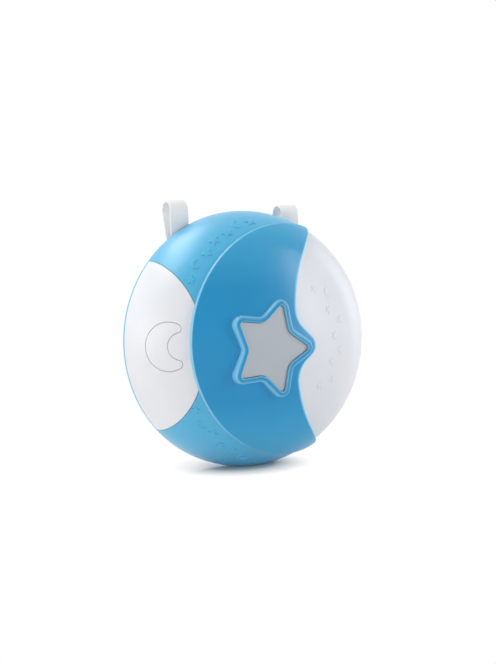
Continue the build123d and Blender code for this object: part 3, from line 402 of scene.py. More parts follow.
def woven(name, base, rib, yarn):
    """Ribbon webbing on the strap's own map: ribs across it and yarns along it."""
    made = Finish(
        name, Sheen_Weight=0.25, Sheen_Roughness=0.4,
        Subsurface_Weight=0.4, Subsurface_Radius=(1.2 * MM, 1.2 * MM, 1.2 * MM))
    g = made.graph
    chart = g.node("ShaderNodeUVMap", {"uv_map": "weave"})
    along, across, _ = g.split(chart)
    ribs = g.wave(along, rib)
    yarns = g.wave(across + along * 0.5, yarn)
    height = ribs * 0.6 + yarns * 0.4
    fuzz = g.noise(made.place, scale=5200.0, detail=3.0, rough=0.7)
    soil = g.noise(made.place, scale=70.0, detail=3.0)
    shade = g.mix(height * 0.7 + fuzz * 0.3, rgba(base, 0.86), rgba(base, 1.05))
    made.set(
        Base_Color=g.mix(soil * 0.12, shade, rgba(base, 0.82)),
        Roughness=0.68 + (fuzz - 0.5) * 0.2)
    made.bump(height + fuzz * 0.35, strength=0.5, depth=0.12 * MM)
    return made


def napped(name, base):
    """Fuzzy pile of a closure patch, thread or paper."""
    made = Finish(name, Sheen_Weight=0.5, Sheen_Roughness=0.5)
    g = made.graph
    loops = g.node("ShaderNodeTexVoronoi", (), {"Vector": made.place, "Scale": 1500.0})
    fuzz = g.noise(made.place, scale=4200.0, detail=4.0, rough=0.7)
    height = loops * 0.6 + fuzz * 0.4
    # Painted shade: the pile's colour is darker where it is low, in the hollows between its loops
    made.set(
        Base_Color=g.mix(height, rgba(base, 0.72), rgba(base, 1.05)),
        Roughness=0.85 + (fuzz - 0.5) * 0.15)
    made.bump(height, strength=0.7, depth=0.25 * MM)
    return made


def circuit(name, base):
    """Solder mask with faint tracks."""
    made = Finish(name, Specular_IOR_Level=0.5)
    g = made.graph
    x, _, z = g.split(made.place)
    weave = g.wave(x + z * 0.3, pitch=2.6 * MM) * g.wave(z - x * 0.2, pitch=4.1 * MM)
    tracks = g.maths("GREATER_THAN", weave, 0.55)
    cloud = g.noise(made.place, scale=90.0)
    made.set(
        Base_Color=g.mix(tracks * 0.5 + cloud * 0.2, rgba(base), rgba(base, 1.7)),
        Roughness=0.4 + cloud * 0.1)
    made.bump(tracks, strength=0.3, depth=0.05 * MM)
    return made


def make_finishes(c, s):
    """All finishes by the record's slot."""
    cover_highlight_arc = (s.arc_x, s.arc_r, s.arc_edge)
    cover_painted_light_ends = (s.fade_from, s.fade_l, c.body)
    panel_arc = (s.seam_x, s.seam_r, s.seam_w)
    dome = (s.rim_r, s.knuckle_r, s.crown_r, s.dome_h)
    made = {
        # The body's edges carry a painted highlight in the paler edge blue
        "blue_body": moulded(
            "body_blue_painted_highlights", c.body, c.edge, roughness=0.4, spark=0.10, edge_gain=2.4,
            Coat_Weight=0.45, Coat_Roughness=0.34),
        # The cover carries painted highlights at its edges, along its arc, flanks and wave edge, and ends painted
        # paler
        "blue_cover": moulded(
            "cover_blue_painted_highlights", c.cover, c.edge, roughness=0.3, spark=0.08, edge_gain=3.0,
            arc=cover_highlight_arc, ends=cover_painted_light_ends, dome=dome, edge_r=COVER_EDGE,
            wave=("center_cover", s.wave_edge), Specular_IOR_Level=0.45),
        "white_panel": moulded(
            "panel_white_moulded", c.panel, c.seam, roughness=0.34, spark=0.06, edge_gain=0.5,
            arc=panel_arc),
        # The light dome's edges carry a painted highlight in the panel's white
        "white_light": moulded(
            "light_white_frosted", c.light, c.panel, roughness=0.38, spark=0.06, edge_gain=0.6,
            Subsurface_Weight=0.15, Subsurface_Radius=(4 * MM, 4 * MM, 5 * MM)),
        "silver_star": metal(
            "star_satin_silver", c.silver, roughness=0.42, grain_scale=1800.0, Metallic=0.35),
        "webbing": woven("strap_woven", c.webbing, rib=1.1 * MM, yarn=0.75 * MM),
        "closure": napped("patch_loop_pile", c.webbing),
        "steel": metal("steel_plated", c.steel, roughness=0.34, grain_scale=900.0, Metallic=1.0),
        "grey_rubber": moulded(
            "sleeve_silicone", c.rubber, c.rubber, roughness=0.6, spark=0.2, edge_gain=0.5),
        "circuit_board": circuit("board_solder_mask", c.board),
        # Black plastic's edges carry a painted highlight in the rubber's grey
        "black_plastic": moulded(
            "black_moulded", c.black, c.rubber, roughness=0.5, spark=0.2, edge_gain=0.6),
        "lamp": moulded("lamp_epoxy", c.thread, c.thread, roughness=0.12, spark=0.02, edge_gain=0.3),
        "cell": metal("cell_sleeve", c.steel, roughness=0.3, grain_scale=400.0, Metallic=0.8),
        "contact": metal("contact_plated", c.brass, roughness=0.28, grain_scale=1200.0, Metallic=1.0),
        "cone_paper": napped("cone_pulp", c.black),
        "magnet": metal("magnet_ferrite", c.black, roughness=0.6, grain_scale=700.0),
        "thread": napped("thread_spun", c.thread),
    }
    return {slot: finish.material for slot, finish in made.items()}


FINISHES = {}


# Meshes

def unit(turn):
    """Flat direction of an angle."""
    return Vector((cos(turn), sin(turn)))


def mesh_object(name, mesh):
    """Links a new object that holds a mesh."""
    made = bpy.data.objects.new(name, mesh)
    bpy.context.scene.collection.objects.link(made)
    return made


def from_bmesh(name, bm, smooth=True):
    """Turns a bmesh into a linked object with outward faces."""
    bmesh.ops.remove_doubles(bm, verts=bm.verts, dist=MERGE)
    bmesh.ops.recalc_face_normals(bm, faces=bm.faces)
    mesh = bpy.data.meshes.new(name)
    bm.to_mesh(mesh)
    bm.free()
    for face in mesh.polygons:
        face.use_smooth = smooth
    return mesh_object(name, mesh)


def dressed(piece, body, slot, *nodes, finish=None):
    """Gives a piece its finish, its body and the nodes that it stands for."""
    piece.data.materials.clear()
    piece.data.materials.append(FINISHES[finish or slot])
    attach(piece, body)
    if nodes:
        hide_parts(*nodes)
    return piece


def baked(name, points, tree, inputs):
    """Runs a geometry tree on a mesh of points or edges and keeps the result as a plain mesh."""
    holder = mesh_object(name + "_points", points)
    modifier = holder.modifiers.new("tree", "NODES")
    modifier.node_group = tree
    sockets = {item.name: item.identifier for item in tree.interface.items_tree if item.in_out == "INPUT"}
    for key, value in inputs.items():
        modifier[sockets[key]] = value
    bpy.context.view_layer.update()
    evaluated = holder.evaluated_get(bpy.context.evaluated_depsgraph_get())
    mesh = bpy.data.meshes.new_from_object(evaluated)
    holder.modifiers.remove(modifier)
    bpy.data.objects.remove(holder)
    if not mesh.polygons:
        raise RuntimeError(f"{name}: the tree made no faces")
    mesh.name = name
    return mesh_object(name, mesh)


def point_mesh(name, points, chains=()):
    """Mesh of bare points, joined along chains of their indices."""
    mesh = bpy.data.meshes.new(name)
    edges = [pair for chain in chains for pair in zip(chain, chain[1:])]
    mesh.from_pydata([tuple(p) for p in points], edges, [])
    return mesh


def geometry_tree(name, **inputs):
    """New geometry tree with named inputs; gives the graph, its input wires and its output socket."""
    tree = bpy.data.node_groups.new(name, "GeometryNodeTree")
    tree.interface.new_socket("Geometry", in_out="INPUT", socket_type="NodeSocketGeometry")
    for key, kind in inputs.items():
        tree.interface.new_socket(key.replace("_", " "), in_out="INPUT", socket_type="NodeSocket" + kind)
    tree.interface.new_socket("Geometry", in_out="OUTPUT", socket_type="NodeSocketGeometry")
    g = Graph(tree)
    entry = tree.nodes.new("NodeGroupInput")
    wires = [Wire(g, socket) for socket in entry.outputs[:len(inputs) + 1]]
    return g, wires, tree.nodes.new("NodeGroupOutput").inputs[0]


def close_tree(g, geometry, finish, end):
    """Ends a tree with plain faces, smooth shading and a material."""
    plain = g.node("GeometryNodeRealizeInstances", (), {"Geometry": geometry})
    shaded = g.node("GeometryNodeSetShadeSmooth", (), {"Geometry": plain})
    painted = g.node("GeometryNodeSetMaterial", (), {"Geometry": shaded, "Material": finish})
    g.feed(end, painted)


# Raised motifs

STAR_NECK, STAR_POINT = 0.5, 1.25  # share of the radius between the points, and their sharpness
CRESCENT = (0.72, 0.46, 0.07)  # inner radius, its shift and the tip's radius, as shares
MOST_INSET = 0.85  # of the way to the middle
MOTIF_SPIN = 0.7  # radians to either side
MOTIF_SIZES = (0.78, 1.08)  # smallest and largest, of the row's radius
FIRST_DEPTH = 0.55  # first guess of a motif's depth, as a share of the dome
DEPTH_ROUNDS = 2


def star_outline(radius, count=50):
    """Points of a soft five-pointed star, each with the star's middle."""
    rows = []
    for i in range(count):
        turn = tau * i / count
        lobe = 0.5 + 0.5 * cos(5 * turn)
        reach = STAR_NECK + (1 - STAR_NECK) * lobe ** STAR_POINT
        rows.append((unit(turn) * radius * reach, Vector((0, 0))))
    return rows


def crescent_outline(radius, count=24):
    """Points of a crescent, each with the point of the crescent's spine beside it."""
    inner, shift, tip = (share * radius for share in CRESCENT)
    reach = (radius - tip) ** 2 + shift ** 2 - (inner + tip) ** 2
    turn = acos(reach / (2 * shift * (radius - tip)))
    middle = unit(turn) * (radius - tip)
    back = atan2(middle.y, middle.x - shift)
    outside, inside = [], []
    for i in range(count + 1):
        share = i / count
        outside.append(unit(turn + (tau - 2 * turn) * share) * radius)
        inside.append(Vector((shift, 0)) + unit(back + (tau - 2 * back) * share) * inner)
    spine = [(a + b) / 2 for a, b in zip(outside, inside)]
    return list(zip(outside, spine)) + list(zip(inside, spine))[::-1]


# Inset in millimetres and share of the relief, from the foot of a motif to its flat top
RELIEF_RINGS = ((-0.08, -0.35), (0.0, 0.0), (0.10, 0.66), (0.22, 0.93), (0.42, 1.0))


def motif_template(name, outline, relief):
    """Raised shape with rounded shoulders; each point keeps its height over the dome."""
    bm = bmesh.new()
    layer = bm.verts.layers.float.new("relief")
    rings = []
    for inset, share in RELIEF_RINGS + ((None, 1.0),):
        ring = []
        for point, home in outline:
            move = 1.0 if inset is None else min(MOST_INSET, inset * MM / (home - point).length)
            flat = point.lerp(home, move)
            vert = bm.verts.new((flat.x, flat.y, 0))
            vert[layer] = share * relief
            ring.append(vert)
        rings.append(ring)
    count = len(outline)
    for low, high in zip(rings, rings[1:]):
        for i in range(count):
            j = (i + 1) % count
            bm.faces.new((low[i], low[j], high[j], high[i]))
    bmesh.ops.remove_doubles(bm, verts=rings[-1], dist=MERGE)
    mesh = bpy.data.meshes.new(name)
    bm.to_mesh(mesh)
    bm.free()
    return mesh_object(name, mesh)


def motif_tree(finish):
    """Tree that sets stars and crescents along an arc and lays them on the dome."""
    g, wires, end = geometry_tree(
        "Raised motifs", Star="Object", Crescent="Object", Arc_X="Float", Arc_R="Float",
        First="Float", Step="Float", Sway="Float", Seed="Int",
        Rim_R="Float", Edge_R="Float", Crown_R="Float", Dome_H="Float")
    points, star, crescent, arc_x, arc_r, first, step, sway, seed, *dome = wires
    index = g.node("GeometryNodeInputIndex")
    odd = g.maths("MODULO", index, 2.0)
    moon = g.maths("COMPARE", g.maths("MODULO", index, 4.0), 1.0)
    turn = first + step * index
    reach = arc_r + sway * (odd * 2.0 - 1.0)
    x = arc_x + reach * g.maths("COSINE", turn)
    z = reach * g.maths("SINE", turn)
    way, middle, bend = g.dome(g.join(x, -FIRST_DEPTH * dome[-1], z), *dome)
    for _ in range(DEPTH_ROUNDS):
        top = g.vector("ADD", middle, g.vector("SCALE", way, scale=bend))
        _, height, _ = g.split(top)
        way, middle, bend = g.dome(g.join(x, height, z), *dome)
    seat = g.vector("ADD", middle, g.vector("SCALE", way, scale=bend))
    placed = g.node("GeometryNodeSetPosition", (), {"Geometry": points, "Position": seat})
    here = g.node("GeometryNodeInputPosition")
    lean = g.node("FunctionNodeAlignRotationToVector", {"axis": "Z"}, {
        "Vector": g.dome(here, *dome)[0]})
    spin = g.node("FunctionNodeRandomValue", {"data_type": "FLOAT"}, {
        "Min": -MOTIF_SPIN, "Max": MOTIF_SPIN, "Seed": seed}, 1)
    turned = g.node("FunctionNodeAxisAngleToRotation", (), {"Axis": (0, 0, 1), "Angle": spin})
    lean = g.node("FunctionNodeRotateRotation", {"rotation_space": "LOCAL"}, {
        "Rotation": lean, "Rotate By": turned})
    size = g.node("FunctionNodeRandomValue", {"data_type": "FLOAT"}, {
        "Min": MOTIF_SIZES[0], "Max": MOTIF_SIZES[1], "Seed": seed, "ID": index}, 1)
    groups = []
    for template, keep in ((star, 1.0 - moon), (crescent, moon)):
        shape = g.node("GeometryNodeObjectInfo", (), {"Object": template}, "Geometry")
        groups.append(g.node("GeometryNodeInstanceOnPoints", (), {
            "Points": placed, "Selection": g.node("FunctionNodeCompare", (), {0: keep, 1: 0.5}),
            "Instance": shape, "Rotation": lean, "Scale": g.join(size, size, size)}))
    both = g.tree.nodes.new("GeometryNodeJoinGeometry")
    for group in groups:
        g.tree.links.new(group.socket, both.inputs[0])
    plain = g.node("GeometryNodeRealizeInstances", (), {"Geometry": Wire(g, both.outputs[0])})
    relief = g.node("GeometryNodeInputNamedAttribute", {"data_type": "FLOAT"}, {"Name": "relief"})
    way, middle, bend = g.dome(here, *dome)
    laid = g.vector("ADD", middle, g.vector("SCALE", way, scale=bend + relief))
    moved = g.node("GeometryNodeSetPosition", (), {
        "Geometry": plain, "Position": laid, "Offset": tuple(CENTRE)})
    close_tree(g, moved, finish, end)
    return g.tree


class NIGHTLIGHT_OT_motifs(bpy.types.Operator):
    """Raised stars and crescents along the cover's arc and on the light dome"""
    bl_idname = "nightlight.motifs"
    bl_label = "Raised motifs"

    def execute(self, context):
        s = context.scene.night_light_sizes
        shared = {"Rim R": s.rim_r, "Edge R": s.knuckle_r, "Crown R": s.crown_r, "Dome H": s.dome_h}
        arc = {"Arc X": s.arc_x, "Arc R": s.arc_r + s.motif_out, "Sway": 0.9 * MM}
        light = {"Arc X": 0.0, "Arc R": s.light_motif_ring, "Sway": 4 * MM}
        rows = (
            ("motifs_top", "blue_body", s.motif_r, s.motif_relief, s.top_motifs, {
                **arc, "First": radians(106), "Step": s.motif_step, "Seed": 3}),
            ("motifs_low", "blue_body", s.motif_r, s.motif_relief, s.low_motifs, {
                **arc, "First": radians(209), "Step": s.motif_step, "Seed": 8}),
            ("motifs_light", "white_light", s.light_motif_r, s.light_relief, s.light_motifs, {
                **light, "First": radians(47), "Step": -s.light_step, "Seed": 5}),
        )
        for name, slot, radius, relief, count, inputs in rows:
            star = motif_template(name + "_star", star_outline(radius), relief)
            moon = motif_template(name + "_crescent", crescent_outline(radius), relief)
            points = point_mesh(name, [(0, 0, 0)] * count)
            tree = motif_tree(FINISHES[slot])
            piece = baked(name, points, tree, {"Star": star, "Crescent": moon, **shared, **inputs})
            bpy.data.objects.remove(star)
            bpy.data.objects.remove(moon)
            dressed(piece, "housing", slot)
        return {"FINISHED"}


# Straps

TAPE_ROUND, PATCH_ROUND = 0.45 * MM, 0.35 * MM  # edges of the webbing and of a patch
PATCH_INSET, SEAM_INSET = 0.3 * MM, 1.6 * MM  # patch inside the webbing, seam inside the patch
THREAD_W, THREAD_T = 0.42 * MM, 0.36 * MM
RING_PITCH = 0.8 * MM  # along a tape


class Loop:
    """Inside line of a webbing loop, in the plane across the light: round its bar, wider at the top."""

    def __init__(self, s, top):
        self.low = Vector((s.bar_y, s.bar_z))
        self.high = Vector((s.loop_y, top - s.strap_t - s.loop_r))
        self.low_r, self.high_r = s.bar_r, s.loop_r
        along = self.high - self.low
        self.lean = atan2(along.y, along.x)
        self.spread = acos((self.low_r - self.high_r) / along.length)
        side = along.length * sin(self.spread)
        over, under = 2 * self.spread * self.high_r, 2 * (pi - self.spread) * self.low_r
        self.runs = (over, side, under, side)

    def total(self):
        return sum(self.runs)

    def at(self, distance):
        """Point and outward direction at a distance, from the front end of the top curve backwards."""
        crown, side, base, _ = self.runs
        distance %= self.total()
        if distance < crown:
            turn = self.lean + self.spread - distance / self.high_r
            return self.high + unit(turn) * self.high_r, unit(turn)
        distance -= crown
        if distance < side:
            way = unit(self.lean - self.spread)
            start = self.high + way * self.high_r
            end = self.low + way * self.low_r
            return start.lerp(end, distance / side), way
        distance -= side
        if distance < base:
            turn = self.lean - self.spread - distance / self.low_r
            return self.low + unit(turn) * self.low_r, unit(turn)
        distance -= base
        way = unit(self.lean + self.spread)
        return (self.low + way * self.low_r).lerp(self.high + way * self.high_r, distance / side), way

    def back_at(self, height):
        """Distance along the loop where its back run passes a height over the rim's middle."""
        crown, side, _, _ = self.runs
        way = unit(self.lean - self.spread)
        start, end = (self.high + way * self.high_r).y, (self.low + way * self.low_r).y
        return crown + side * (start - height) / (start - end)


def tape_section(width, low, high, rounding, steps=3):
    """Cross-section of a tape with round edges: across it and out of the loop."""
    points = []
    corners = ((1, low, 1.5 * pi), (1, high, 0.0), (-1, high, 0.5 * pi), (-1, low, pi))
    for side, edge, start in corners:
        middle = Vector((side * (width / 2 - rounding), edge + (rounding if edge == low else -rounding)))
        for i in range(steps + 1):
            points.append(middle + unit(start + 0.5 * pi * i / steps) * rounding)
    return points


def tape(name, loop, middle, section, start, end, closed):
    """Tape along part of a loop, with its own map for the weave."""
    count = ceil((end - start) / RING_PITCH)
    step = (end - start) / count
    bm = bmesh.new()
    chart = bm.loops.layers.uv.new("weave")
    rings, marks = [], []
    for i in range(count + (0 if closed else 1)):
        distance = start + step * i
        point, way = loop.at(distance)
        ring = []
        for across, out in section:
            flat = point + way * out
            ring.append(bm.verts.new(CENTRE + Vector((middle + across, flat.x, flat.y))))
        rings.append(ring)
        marks.append(distance)
    size = len(section)
    spans = [0.0]
    for a, b in zip(section, section[1:] + section[:1]):
        spans.append(spans[-1] + (b - a).length)
    for i in range(count):
        near, far = rings[i], rings[(i + 1) % len(rings)]
        for k in range(size):
            n = (k + 1) % size
            face = bm.faces.new((near[k], near[n], far[n], far[k]))
            for corner, (u, v) in zip(face.loops, (
                    (marks[i], spans[k]), (marks[i], spans[k + 1]),
                    (marks[i] + step, spans[k + 1]), (marks[i] + step, spans[k]))):
                corner[chart].uv = (u, v)
    if not closed:
        bm.faces.new(rings[0])
        bm.faces.new(rings[-1])
    return from_bmesh(name, bm)


def stitch_template(name, s):
    """One stitch: a short plump thread."""
    bm = bmesh.new()
    bmesh.ops.create_uvsphere(bm, u_segments=8, v_segments=6, radius=0.5)
    bmesh.ops.scale(bm, vec=(s.stitch_l, THREAD_W, THREAD_T), verts=bm.verts)
    return from_bmesh(name, bm)


def stitch_tree():
    """Tree that sews stitches along the edges of a mesh."""
    g, (edges, stitch, pitch, out), end = geometry_tree(
        "Stitches", Stitch="Object", Pitch="Float", Out="Vector")
    line = g.node("GeometryNodeMeshToCurve", (), {"Mesh": edges})
    spaced = g.node("GeometryNodeResampleCurve", {"mode": "LENGTH"}, {"Curve": line, "Length": pitch})
    lean = g.node("FunctionNodeAlignRotationToVector", {"axis": "X"}, {
        "Vector": g.node("GeometryNodeInputTangent")})
    lean = g.node("FunctionNodeAlignRotationToVector", {"axis": "Z", "pivot_axis": "X"}, {
        "Rotation": lean, "Vector": out})
    shape = g.node("GeometryNodeObjectInfo", (), {"Object": stitch}, "Geometry")
    sewn = g.node("GeometryNodeInstanceOnPoints", (), {
        "Points": spaced, "Instance": shape, "Rotation": lean})
    close_tree(g, sewn, FINISHES["thread"], end)
    return g.tree


class NIGHTLIGHT_OT_straps(bpy.types.Operator):
    """Webbing loops with sewn closure patches"""
    bl_idname = "nightlight.straps"
    bl_label = "Webbing loops"

    def execute(self, context):
        s = context.scene.night_light_sizes
        for side, sign, top in (("left", -1, s.left_top), ("right", 1, s.right_top)):
            middle, body = sign * s.strap_x, f"{side}_strap"
            loop = Loop(s, top)
            section = tape_section(s.strap_w, 0.0, s.strap_t, TAPE_ROUND)
            web = tape(f"webbing_{side}", loop, middle, section, 0.0, loop.total(), True)
            dressed(web, body, "webbing", f"strap_{side}")
            low = s.bar_z + s.patch_from
            start, end = loop.back_at(low + s.patch_l), loop.back_at(low)
            layer = tape_section(
                s.strap_w - 2 * PATCH_INSET, s.strap_t, s.strap_t + s.patch_t, PATCH_ROUND)
            patch = tape(f"closure_{side}", loop, middle, layer, start, end, False)
            dressed(patch, body, "closure", f"{side}_strap_patch")
            seam = self.sew(s, side, loop, middle, start, end)
            cut = (s.strap_w, loop.total() + pi * s.strap_t)
        return {"FINISHED"}

    def sew(self, s, side, loop, middle, start, end):
        """Box of stitches round a patch."""
        half = s.strap_w / 2 - SEAM_INSET
        first, last = start + SEAM_INSET, end - SEAM_INSET
        corners = []
        for distance, across in ((first, -half), (first, half), (last, half), (last, -half)):
            point, way = loop.at(distance)
            flat = point + way * (s.strap_t + s.patch_t)
            corners.append(CENTRE + Vector((middle + across, flat.x, flat.y)))
        template = stitch_template("stitch", s)
        lines = point_mesh("sewing", corners, ((0, 1), (1, 2), (2, 3), (3, 0)))
        out = (0.0, *loop.at((start + end) / 2)[1])
        piece = baked(f"stitching_{side}", lines, stitch_tree(), {
            "Stitch": template, "Pitch": s.stitch_pitch, "Out": out})
        bpy.data.objects.remove(template)
        return dressed(piece, f"{side}_strap", "closure", finish="thread")


# Screws and slider

HEAD_ROUND = 0.6  # rounding of a screw's head, as a share of its height
CROSS_ARM, CROSS_HALF = 0.52, 0.13  # reach and half width of its cross, as shares of its radius
CROSS_TAPER, CROSS_FLOOR = 0.7, 0.35  # size at its floor, and the floor's height, as shares
RIB_W, RIB_T, RIB_ROUND = 4.2 * MM, 0.7 * MM, 0.22 * MM


def screw_template(name, s):
    """Pan head with a cross recess, seated at the origin and facing +Y."""
    bm = bmesh.new()
    steps, segments = 5, 28
    rounding = s.screw_h * HEAD_ROUND
    around = [unit(tau * k / segments) for k in range(segments)]
    rings = []
    for i in range(-1, steps + 1):
        turn = 0.5 * pi * max(i, 0) / steps
        radius = s.screw_r - rounding * (1 - cos(turn))
        height = 0.0 if i < 0 else s.screw_h - rounding * (1 - sin(turn))
        rings.append([bm.verts.new((radius * way.x, height, radius * way.y)) for way in around])
    for low, high in zip(rings, rings[1:]):
        for k in range(segments):
            n = (k + 1) % segments
            bm.faces.new((low[k], low[n], high[n], high[k]))
    bm.faces.new(rings[0])
    arm, half = s.screw_r * CROSS_ARM, s.screw_r * CROSS_HALF
    flat = []
    for c, n in ((1, 0), (0, 1), (-1, 0), (0, -1)):
        flat += [(x * c - z * n, x * n + z * c) for x, z in ((arm, half), (half, half), (half, arm))]
    top = [bm.verts.new((x, s.screw_h, z)) for x, z in flat]
    depth = s.screw_h * CROSS_FLOOR
    deep = [bm.verts.new((x * CROSS_TAPER, depth, z * CROSS_TAPER)) for x, z in flat]
    for k in range(len(top)):
        n = (k + 1) % len(top)
        bm.faces.new((top[k], top[n], deep[n], deep[k]))
    bm.faces.new(deep)
    edges = [bm.edges.get((a, b)) for a, b in zip(top, top[1:] + top[:1])]
    edges += [bm.edges.get((a, b)) for a, b in zip(rings[-1], rings[-1][1:] + rings[-1][:1])]
    bmesh.ops.triangle_fill(bm, edges=edges, use_beauty=True, normal=(0, 1, 0))
    return from_bmesh(name, bm, smooth=False)


def copies_tree(name, finish):
    """Tree that sets a template on every point of a mesh."""
    g, (points, template), end = geometry_tree(name, Template="Object")
    shape = g.node("GeometryNodeObjectInfo", (), {"Object": template}, "Geometry")
    placed = g.node("GeometryNodeInstanceOnPoints", (), {"Points": points, "Instance": shape})
    plain = g.node("GeometryNodeRealizeInstances", (), {"Geometry": placed})
    g.feed(end, g.node("GeometryNodeSetMaterial", (), {"Geometry": plain, "Material": finish}))
    return g.tree


SCREW_ANGLES = (78, 110, 250, 282, 160, 200, 35, -35)  # degrees round the axis


class NIGHTLIGHT_OT_screws(bpy.types.Operator):
    """Cross-head screws in the back"""
    bl_idname = "nightlight.screws"
    bl_label = "Screws"

    def execute(self, context):
        s = context.scene.night_light_sizes
        low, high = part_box("battery_door_screw")
        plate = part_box("housing_screws")[1].y - s.screw_h
        ring = []
        for turn in SCREW_ANGLES:
            flat = unit(radians(turn)) * s.screw_ring
            ring.append((flat.x, plate, CENTRE.z + flat.y))
        door = [((low.x + high.x) / 2, high.y - s.screw_h, (low.z + high.z) / 2)]
        tree = copies_tree("Screws", FINISHES["steel"])
        for name, places, node in (
                ("back_screws", ring, "housing_screws"), ("door_screw", door, "battery_door_screw")):
            template = screw_template("screw", s)
            piece = baked(name, point_mesh(name, places), tree, {"Template": template})
            bpy.data.objects.remove(template)
            dressed(piece, "housing", "steel", node)
        return {"FINISHED"}


class NIGHTLIGHT_OT_grip(bpy.types.Operator):
    """Grip ribs on the power slider"""
    bl_idname = "nightlight.grip"
    bl_label = "Slider grip"

    def execute(self, context):
        s = context.scene.night_light_sizes
        low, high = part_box("power_slider")
        bm = bmesh.new()
        bmesh.ops.create_cube(bm, size=1.0)
        bmesh.ops.scale(bm, vec=(RIB_W, 2 * s.rib_h, RIB_T), verts=bm.verts)
        bmesh.ops.bevel(bm, geom=bm.edges[:], offset=RIB_ROUND, segments=2, affect="EDGES")
        rib = from_bmesh("rib", bm)
        middle = (low + high) / 2
        places = [(middle.x, high.y, middle.z + i * s.rib_pitch) for i in (-1, 0, 1)]
        tree = copies_tree("Ribs", FINISHES["white_panel"])
        piece = baked("slider_ribs", point_mesh("ribs", places), tree, {"Template": rib})
        bpy.data.objects.remove(rib)
        dressed(piece, "power_knob", "white_panel")
        return {"FINISHED"}


class NIGHTLIGHT_OT_sleeves(bpy.types.Operator):
    """Rubber return sleeves, each copied into a mesh of its own"""
    bl_idname = "nightlight.sleeves"
    bl_label = "Return sleeves"

    def execute(self, context):
        joints = {joint["name"]: joint for joint in frame["joints"]}
        for name, node, press in (
                ("star_sleeve", "star_return_pad", "star_press"),
                ("moon_sleeves", "moon_return_pads", "moon_press")):
            bm = bmesh.new()
            bm.from_mesh(frame["nodes"][node].data)
            piece = from_bmesh(name, bm, smooth=False)
            dressed(piece, "housing", "grey_rubber", node)
            way = Vector(joints[press]["axis"])
            depths = sorted((vert.co.dot(way), vert.index) for vert in piece.data.vertices)
            tall = depths[-1][0] - depths[0][0]
            1 - joints[press]["range_m"][1] / tall
            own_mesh(piece)
        return {"FINISHED"}


class NIGHTLIGHT_OT_finishes(bpy.types.Operator):
    """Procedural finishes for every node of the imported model"""
    bl_idname = "nightlight.finishes"
    bl_label = "Finishes"

    def execute(self, context):
        FINISHES.update(make_finishes(context.scene.night_light_colours, context.scene.night_light_sizes))
        for part in frame["record"]["subparts"]:
            node = frame["nodes"][part["node"]]
            node.data.materials.clear()
            node.data.materials.append(FINISHES[part["material_slot"]])
        return {"FINISHED"}


# Studio

# Camera: angles in degrees, lengths in metres, focal length and picture in pixels, sensor in mm
VIEW = {
    "turn": -26.54, "rise": 3.98, "roll": -2.41, "distance": 1.0,
    "aim": (3.4 * MM, 5.2 * MM), "focal": 1273.2, "picture": (496, 664), "sensor": 36.0,
}

# Soft boxes: place and size in metres, power in watts, and whether glossy surfaces mirror them
LAMPS = (
    ("key", (-1.17, -0.12, 0.26), (1.3, 0.42), 3.9, True),
    ("fill", (-0.3, -0.6, 0.06), (0.5, 0.08), 0.5, False),
    ("strip", (0.84, -0.81, 0.39), (0.2, 0.9), 4.7, True),
    ("side", (1.2, 0.0, 0.45), (0.6, 0.9), 3.6, True),
    ("top", (-0.475, 0.35, 1.2), (1.2, 0.5), 10.0, True),
)
SKY = 0.3  # the background's light on the model; it shows at 1
FLOOR_SIZE = 20.0
SHADOW_X, SHADOW_R = -6 * MM, 25 * MM  # middle of the floor's shadow and its full part
SHADOW_FALL = 34.0  # how fast it fades, per metre
SHADOW_GLOW = 0.02  # share of plain white in its middle


def add_camera():
    """Camera at the photograph's viewing angle."""
    a, e, r = (radians(VIEW[key]) for key in ("turn", "rise", "roll"))
    back = Vector((sin(a) * cos(e), -cos(a) * cos(e), sin(e)))
    level = Vector((cos(a), sin(a), 0))
    over = back.cross(level)
    right = level * cos(r) + over * sin(r)
    up = over * cos(r) - level * sin(r)
    data = bpy.data.cameras.new("camera")
    data.sensor_width = VIEW["sensor"]
    data.lens = VIEW["focal"] * VIEW["sensor"] / max(VIEW["picture"])
    data.clip_start, data.clip_end = 0.01, 100
    made = bpy.data.objects.new("camera", data)
    bpy.context.scene.collection.objects.link(made)
    place = CENTRE + back * VIEW["distance"] + right * VIEW["aim"][0] + up * VIEW["aim"][1]
    made.matrix_world = Matrix.Translation(place) @ Matrix((right, up, back)).transposed().to_4x4()
    bpy.context.scene.camera = made


def add_lamp(name, place, size, power, mirrored):
    """Soft box that looks at the light, and that glossy surfaces mirror or not."""
    data = bpy.data.lights.new(name, "AREA")
    data.shape = "RECTANGLE"
    data.size, data.size_y = size
    data.energy = power
    made = bpy.data.objects.new(name, data)
    bpy.context.scene.collection.objects.link(made)
    made.visible_camera = False
    made.visible_glossy = mirrored
    made.location = place
    made.rotation_euler = (CENTRE - Vector(place)).to_track_quat("-Z", "Y").to_euler()


def seen_rays(g):
    """1 for rays that should see the plain background."""
    path = g.node("ShaderNodeLightPath")
    outputs = path.socket.node.outputs
    seen = Wire(g, outputs["Is Camera Ray"]) + Wire(g, outputs["Is Glossy Ray"])
    return g.maths("MINIMUM", seen + Wire(g, outputs["Is Transmission Ray"]), 1.0)


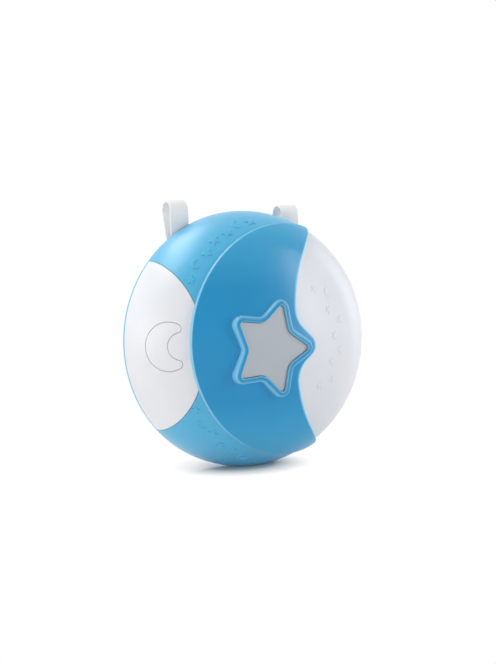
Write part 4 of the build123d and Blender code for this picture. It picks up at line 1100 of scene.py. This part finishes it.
def floor_material(base):
    """Pale floor that keeps the light's shadow and fades into the white background."""
    made = Finish("studio_floor", Roughness=0.9)
    g = made.graph
    cloud = g.noise(made.place, scale=3.0)
    made.set(Base_Color=g.mix(cloud, rgba(base, 0.99), rgba(base, 1.0)))
    glow = g.node("ShaderNodeEmission", (), {"Color": (1, 1, 1, 1), "Strength": 1.0})
    x, y, _ = g.split(g.vector("SUBTRACT", made.place, (SHADOW_X, 0, 0)))
    far = g.maths("MULTIPLY", g.maths("SQRT", x * x + y * y) - SHADOW_R, SHADOW_FALL, clamp=True)
    share = seen_rays(g) * (SHADOW_GLOW + far * (1 - SHADOW_GLOW))
    blend = g.node("ShaderNodeMixShader", (), {0: share, 1: Wire(g, made.shader.outputs[0]), 2: glow})
    g.feed(made.material.node_tree.nodes["Material Output"].inputs[0], blend)
    return made.material


class NIGHTLIGHT_OT_stage(bpy.types.Operator):
    """Pale floor, soft studio light and the camera"""
    bl_idname = "nightlight.stage"
    bl_label = "Studio"

    def execute(self, context):
        context.scene.view_settings.view_transform = "Standard"
        bm = bmesh.new()
        bmesh.ops.create_grid(bm, x_segments=8, y_segments=8, size=FLOOR_SIZE)
        floor = from_bmesh("floor", bm)
        if floor.data.polygons[0].normal.z < 0:
            floor.data.flip_normals()
        floor.data.materials.append(floor_material(context.scene.night_light_colours.floor))
        world = bpy.data.worlds.new("studio")
        context.scene.world = world
        world.use_nodes = True
        g = Graph(world.node_tree)
        sky = world.node_tree.nodes["Background"]
        g.feed(sky.inputs["Color"], (1.0, 1.0, 1.0, 1.0))
        g.feed(sky.inputs["Strength"], SKY + seen_rays(g) * (1 - SKY))
        for row in LAMPS:
            add_lamp(*row)
        add_camera()
        return {"FINISHED"}


class NIGHTLIGHT_PT_panel(bpy.types.Panel):
    """Lists the night light's pieces and sizes"""
    bl_idname = "NIGHTLIGHT_PT_panel"
    bl_label = "Night light"
    bl_space_type = "VIEW_3D"
    bl_region_type = "UI"
    bl_category = "Night light"

    def draw(self, context):
        for operator in STEPS:
            self.layout.operator(operator.bl_idname)
        for group in (context.scene.night_light_sizes, context.scene.night_light_colours):
            for name in group.__annotations__:
                self.layout.prop(group, name)


STEPS = (
    NIGHTLIGHT_OT_finishes, NIGHTLIGHT_OT_motifs, NIGHTLIGHT_OT_straps, NIGHTLIGHT_OT_screws,
    NIGHTLIGHT_OT_grip, NIGHTLIGHT_OT_sleeves, NIGHTLIGHT_OT_stage,
)
CLASSES = (NightLightSizes, NightLightColours, *STEPS, NIGHTLIGHT_PT_panel)


def register():
    for item in CLASSES:
        bpy.utils.register_class(item)
    bpy.types.Scene.night_light_sizes = PointerProperty(type=NightLightSizes)
    bpy.types.Scene.night_light_colours = PointerProperty(type=NightLightColours)


def unregister():
    del bpy.types.Scene.night_light_sizes
    del bpy.types.Scene.night_light_colours
    for item in reversed(CLASSES):
        bpy.utils.unregister_class(item)


def main():
    register()
    for operator in STEPS:
        group, name = operator.bl_idname.split(".")
        getattr(getattr(bpy.ops, group), name)()


if __name__ == "__main__":
    main()
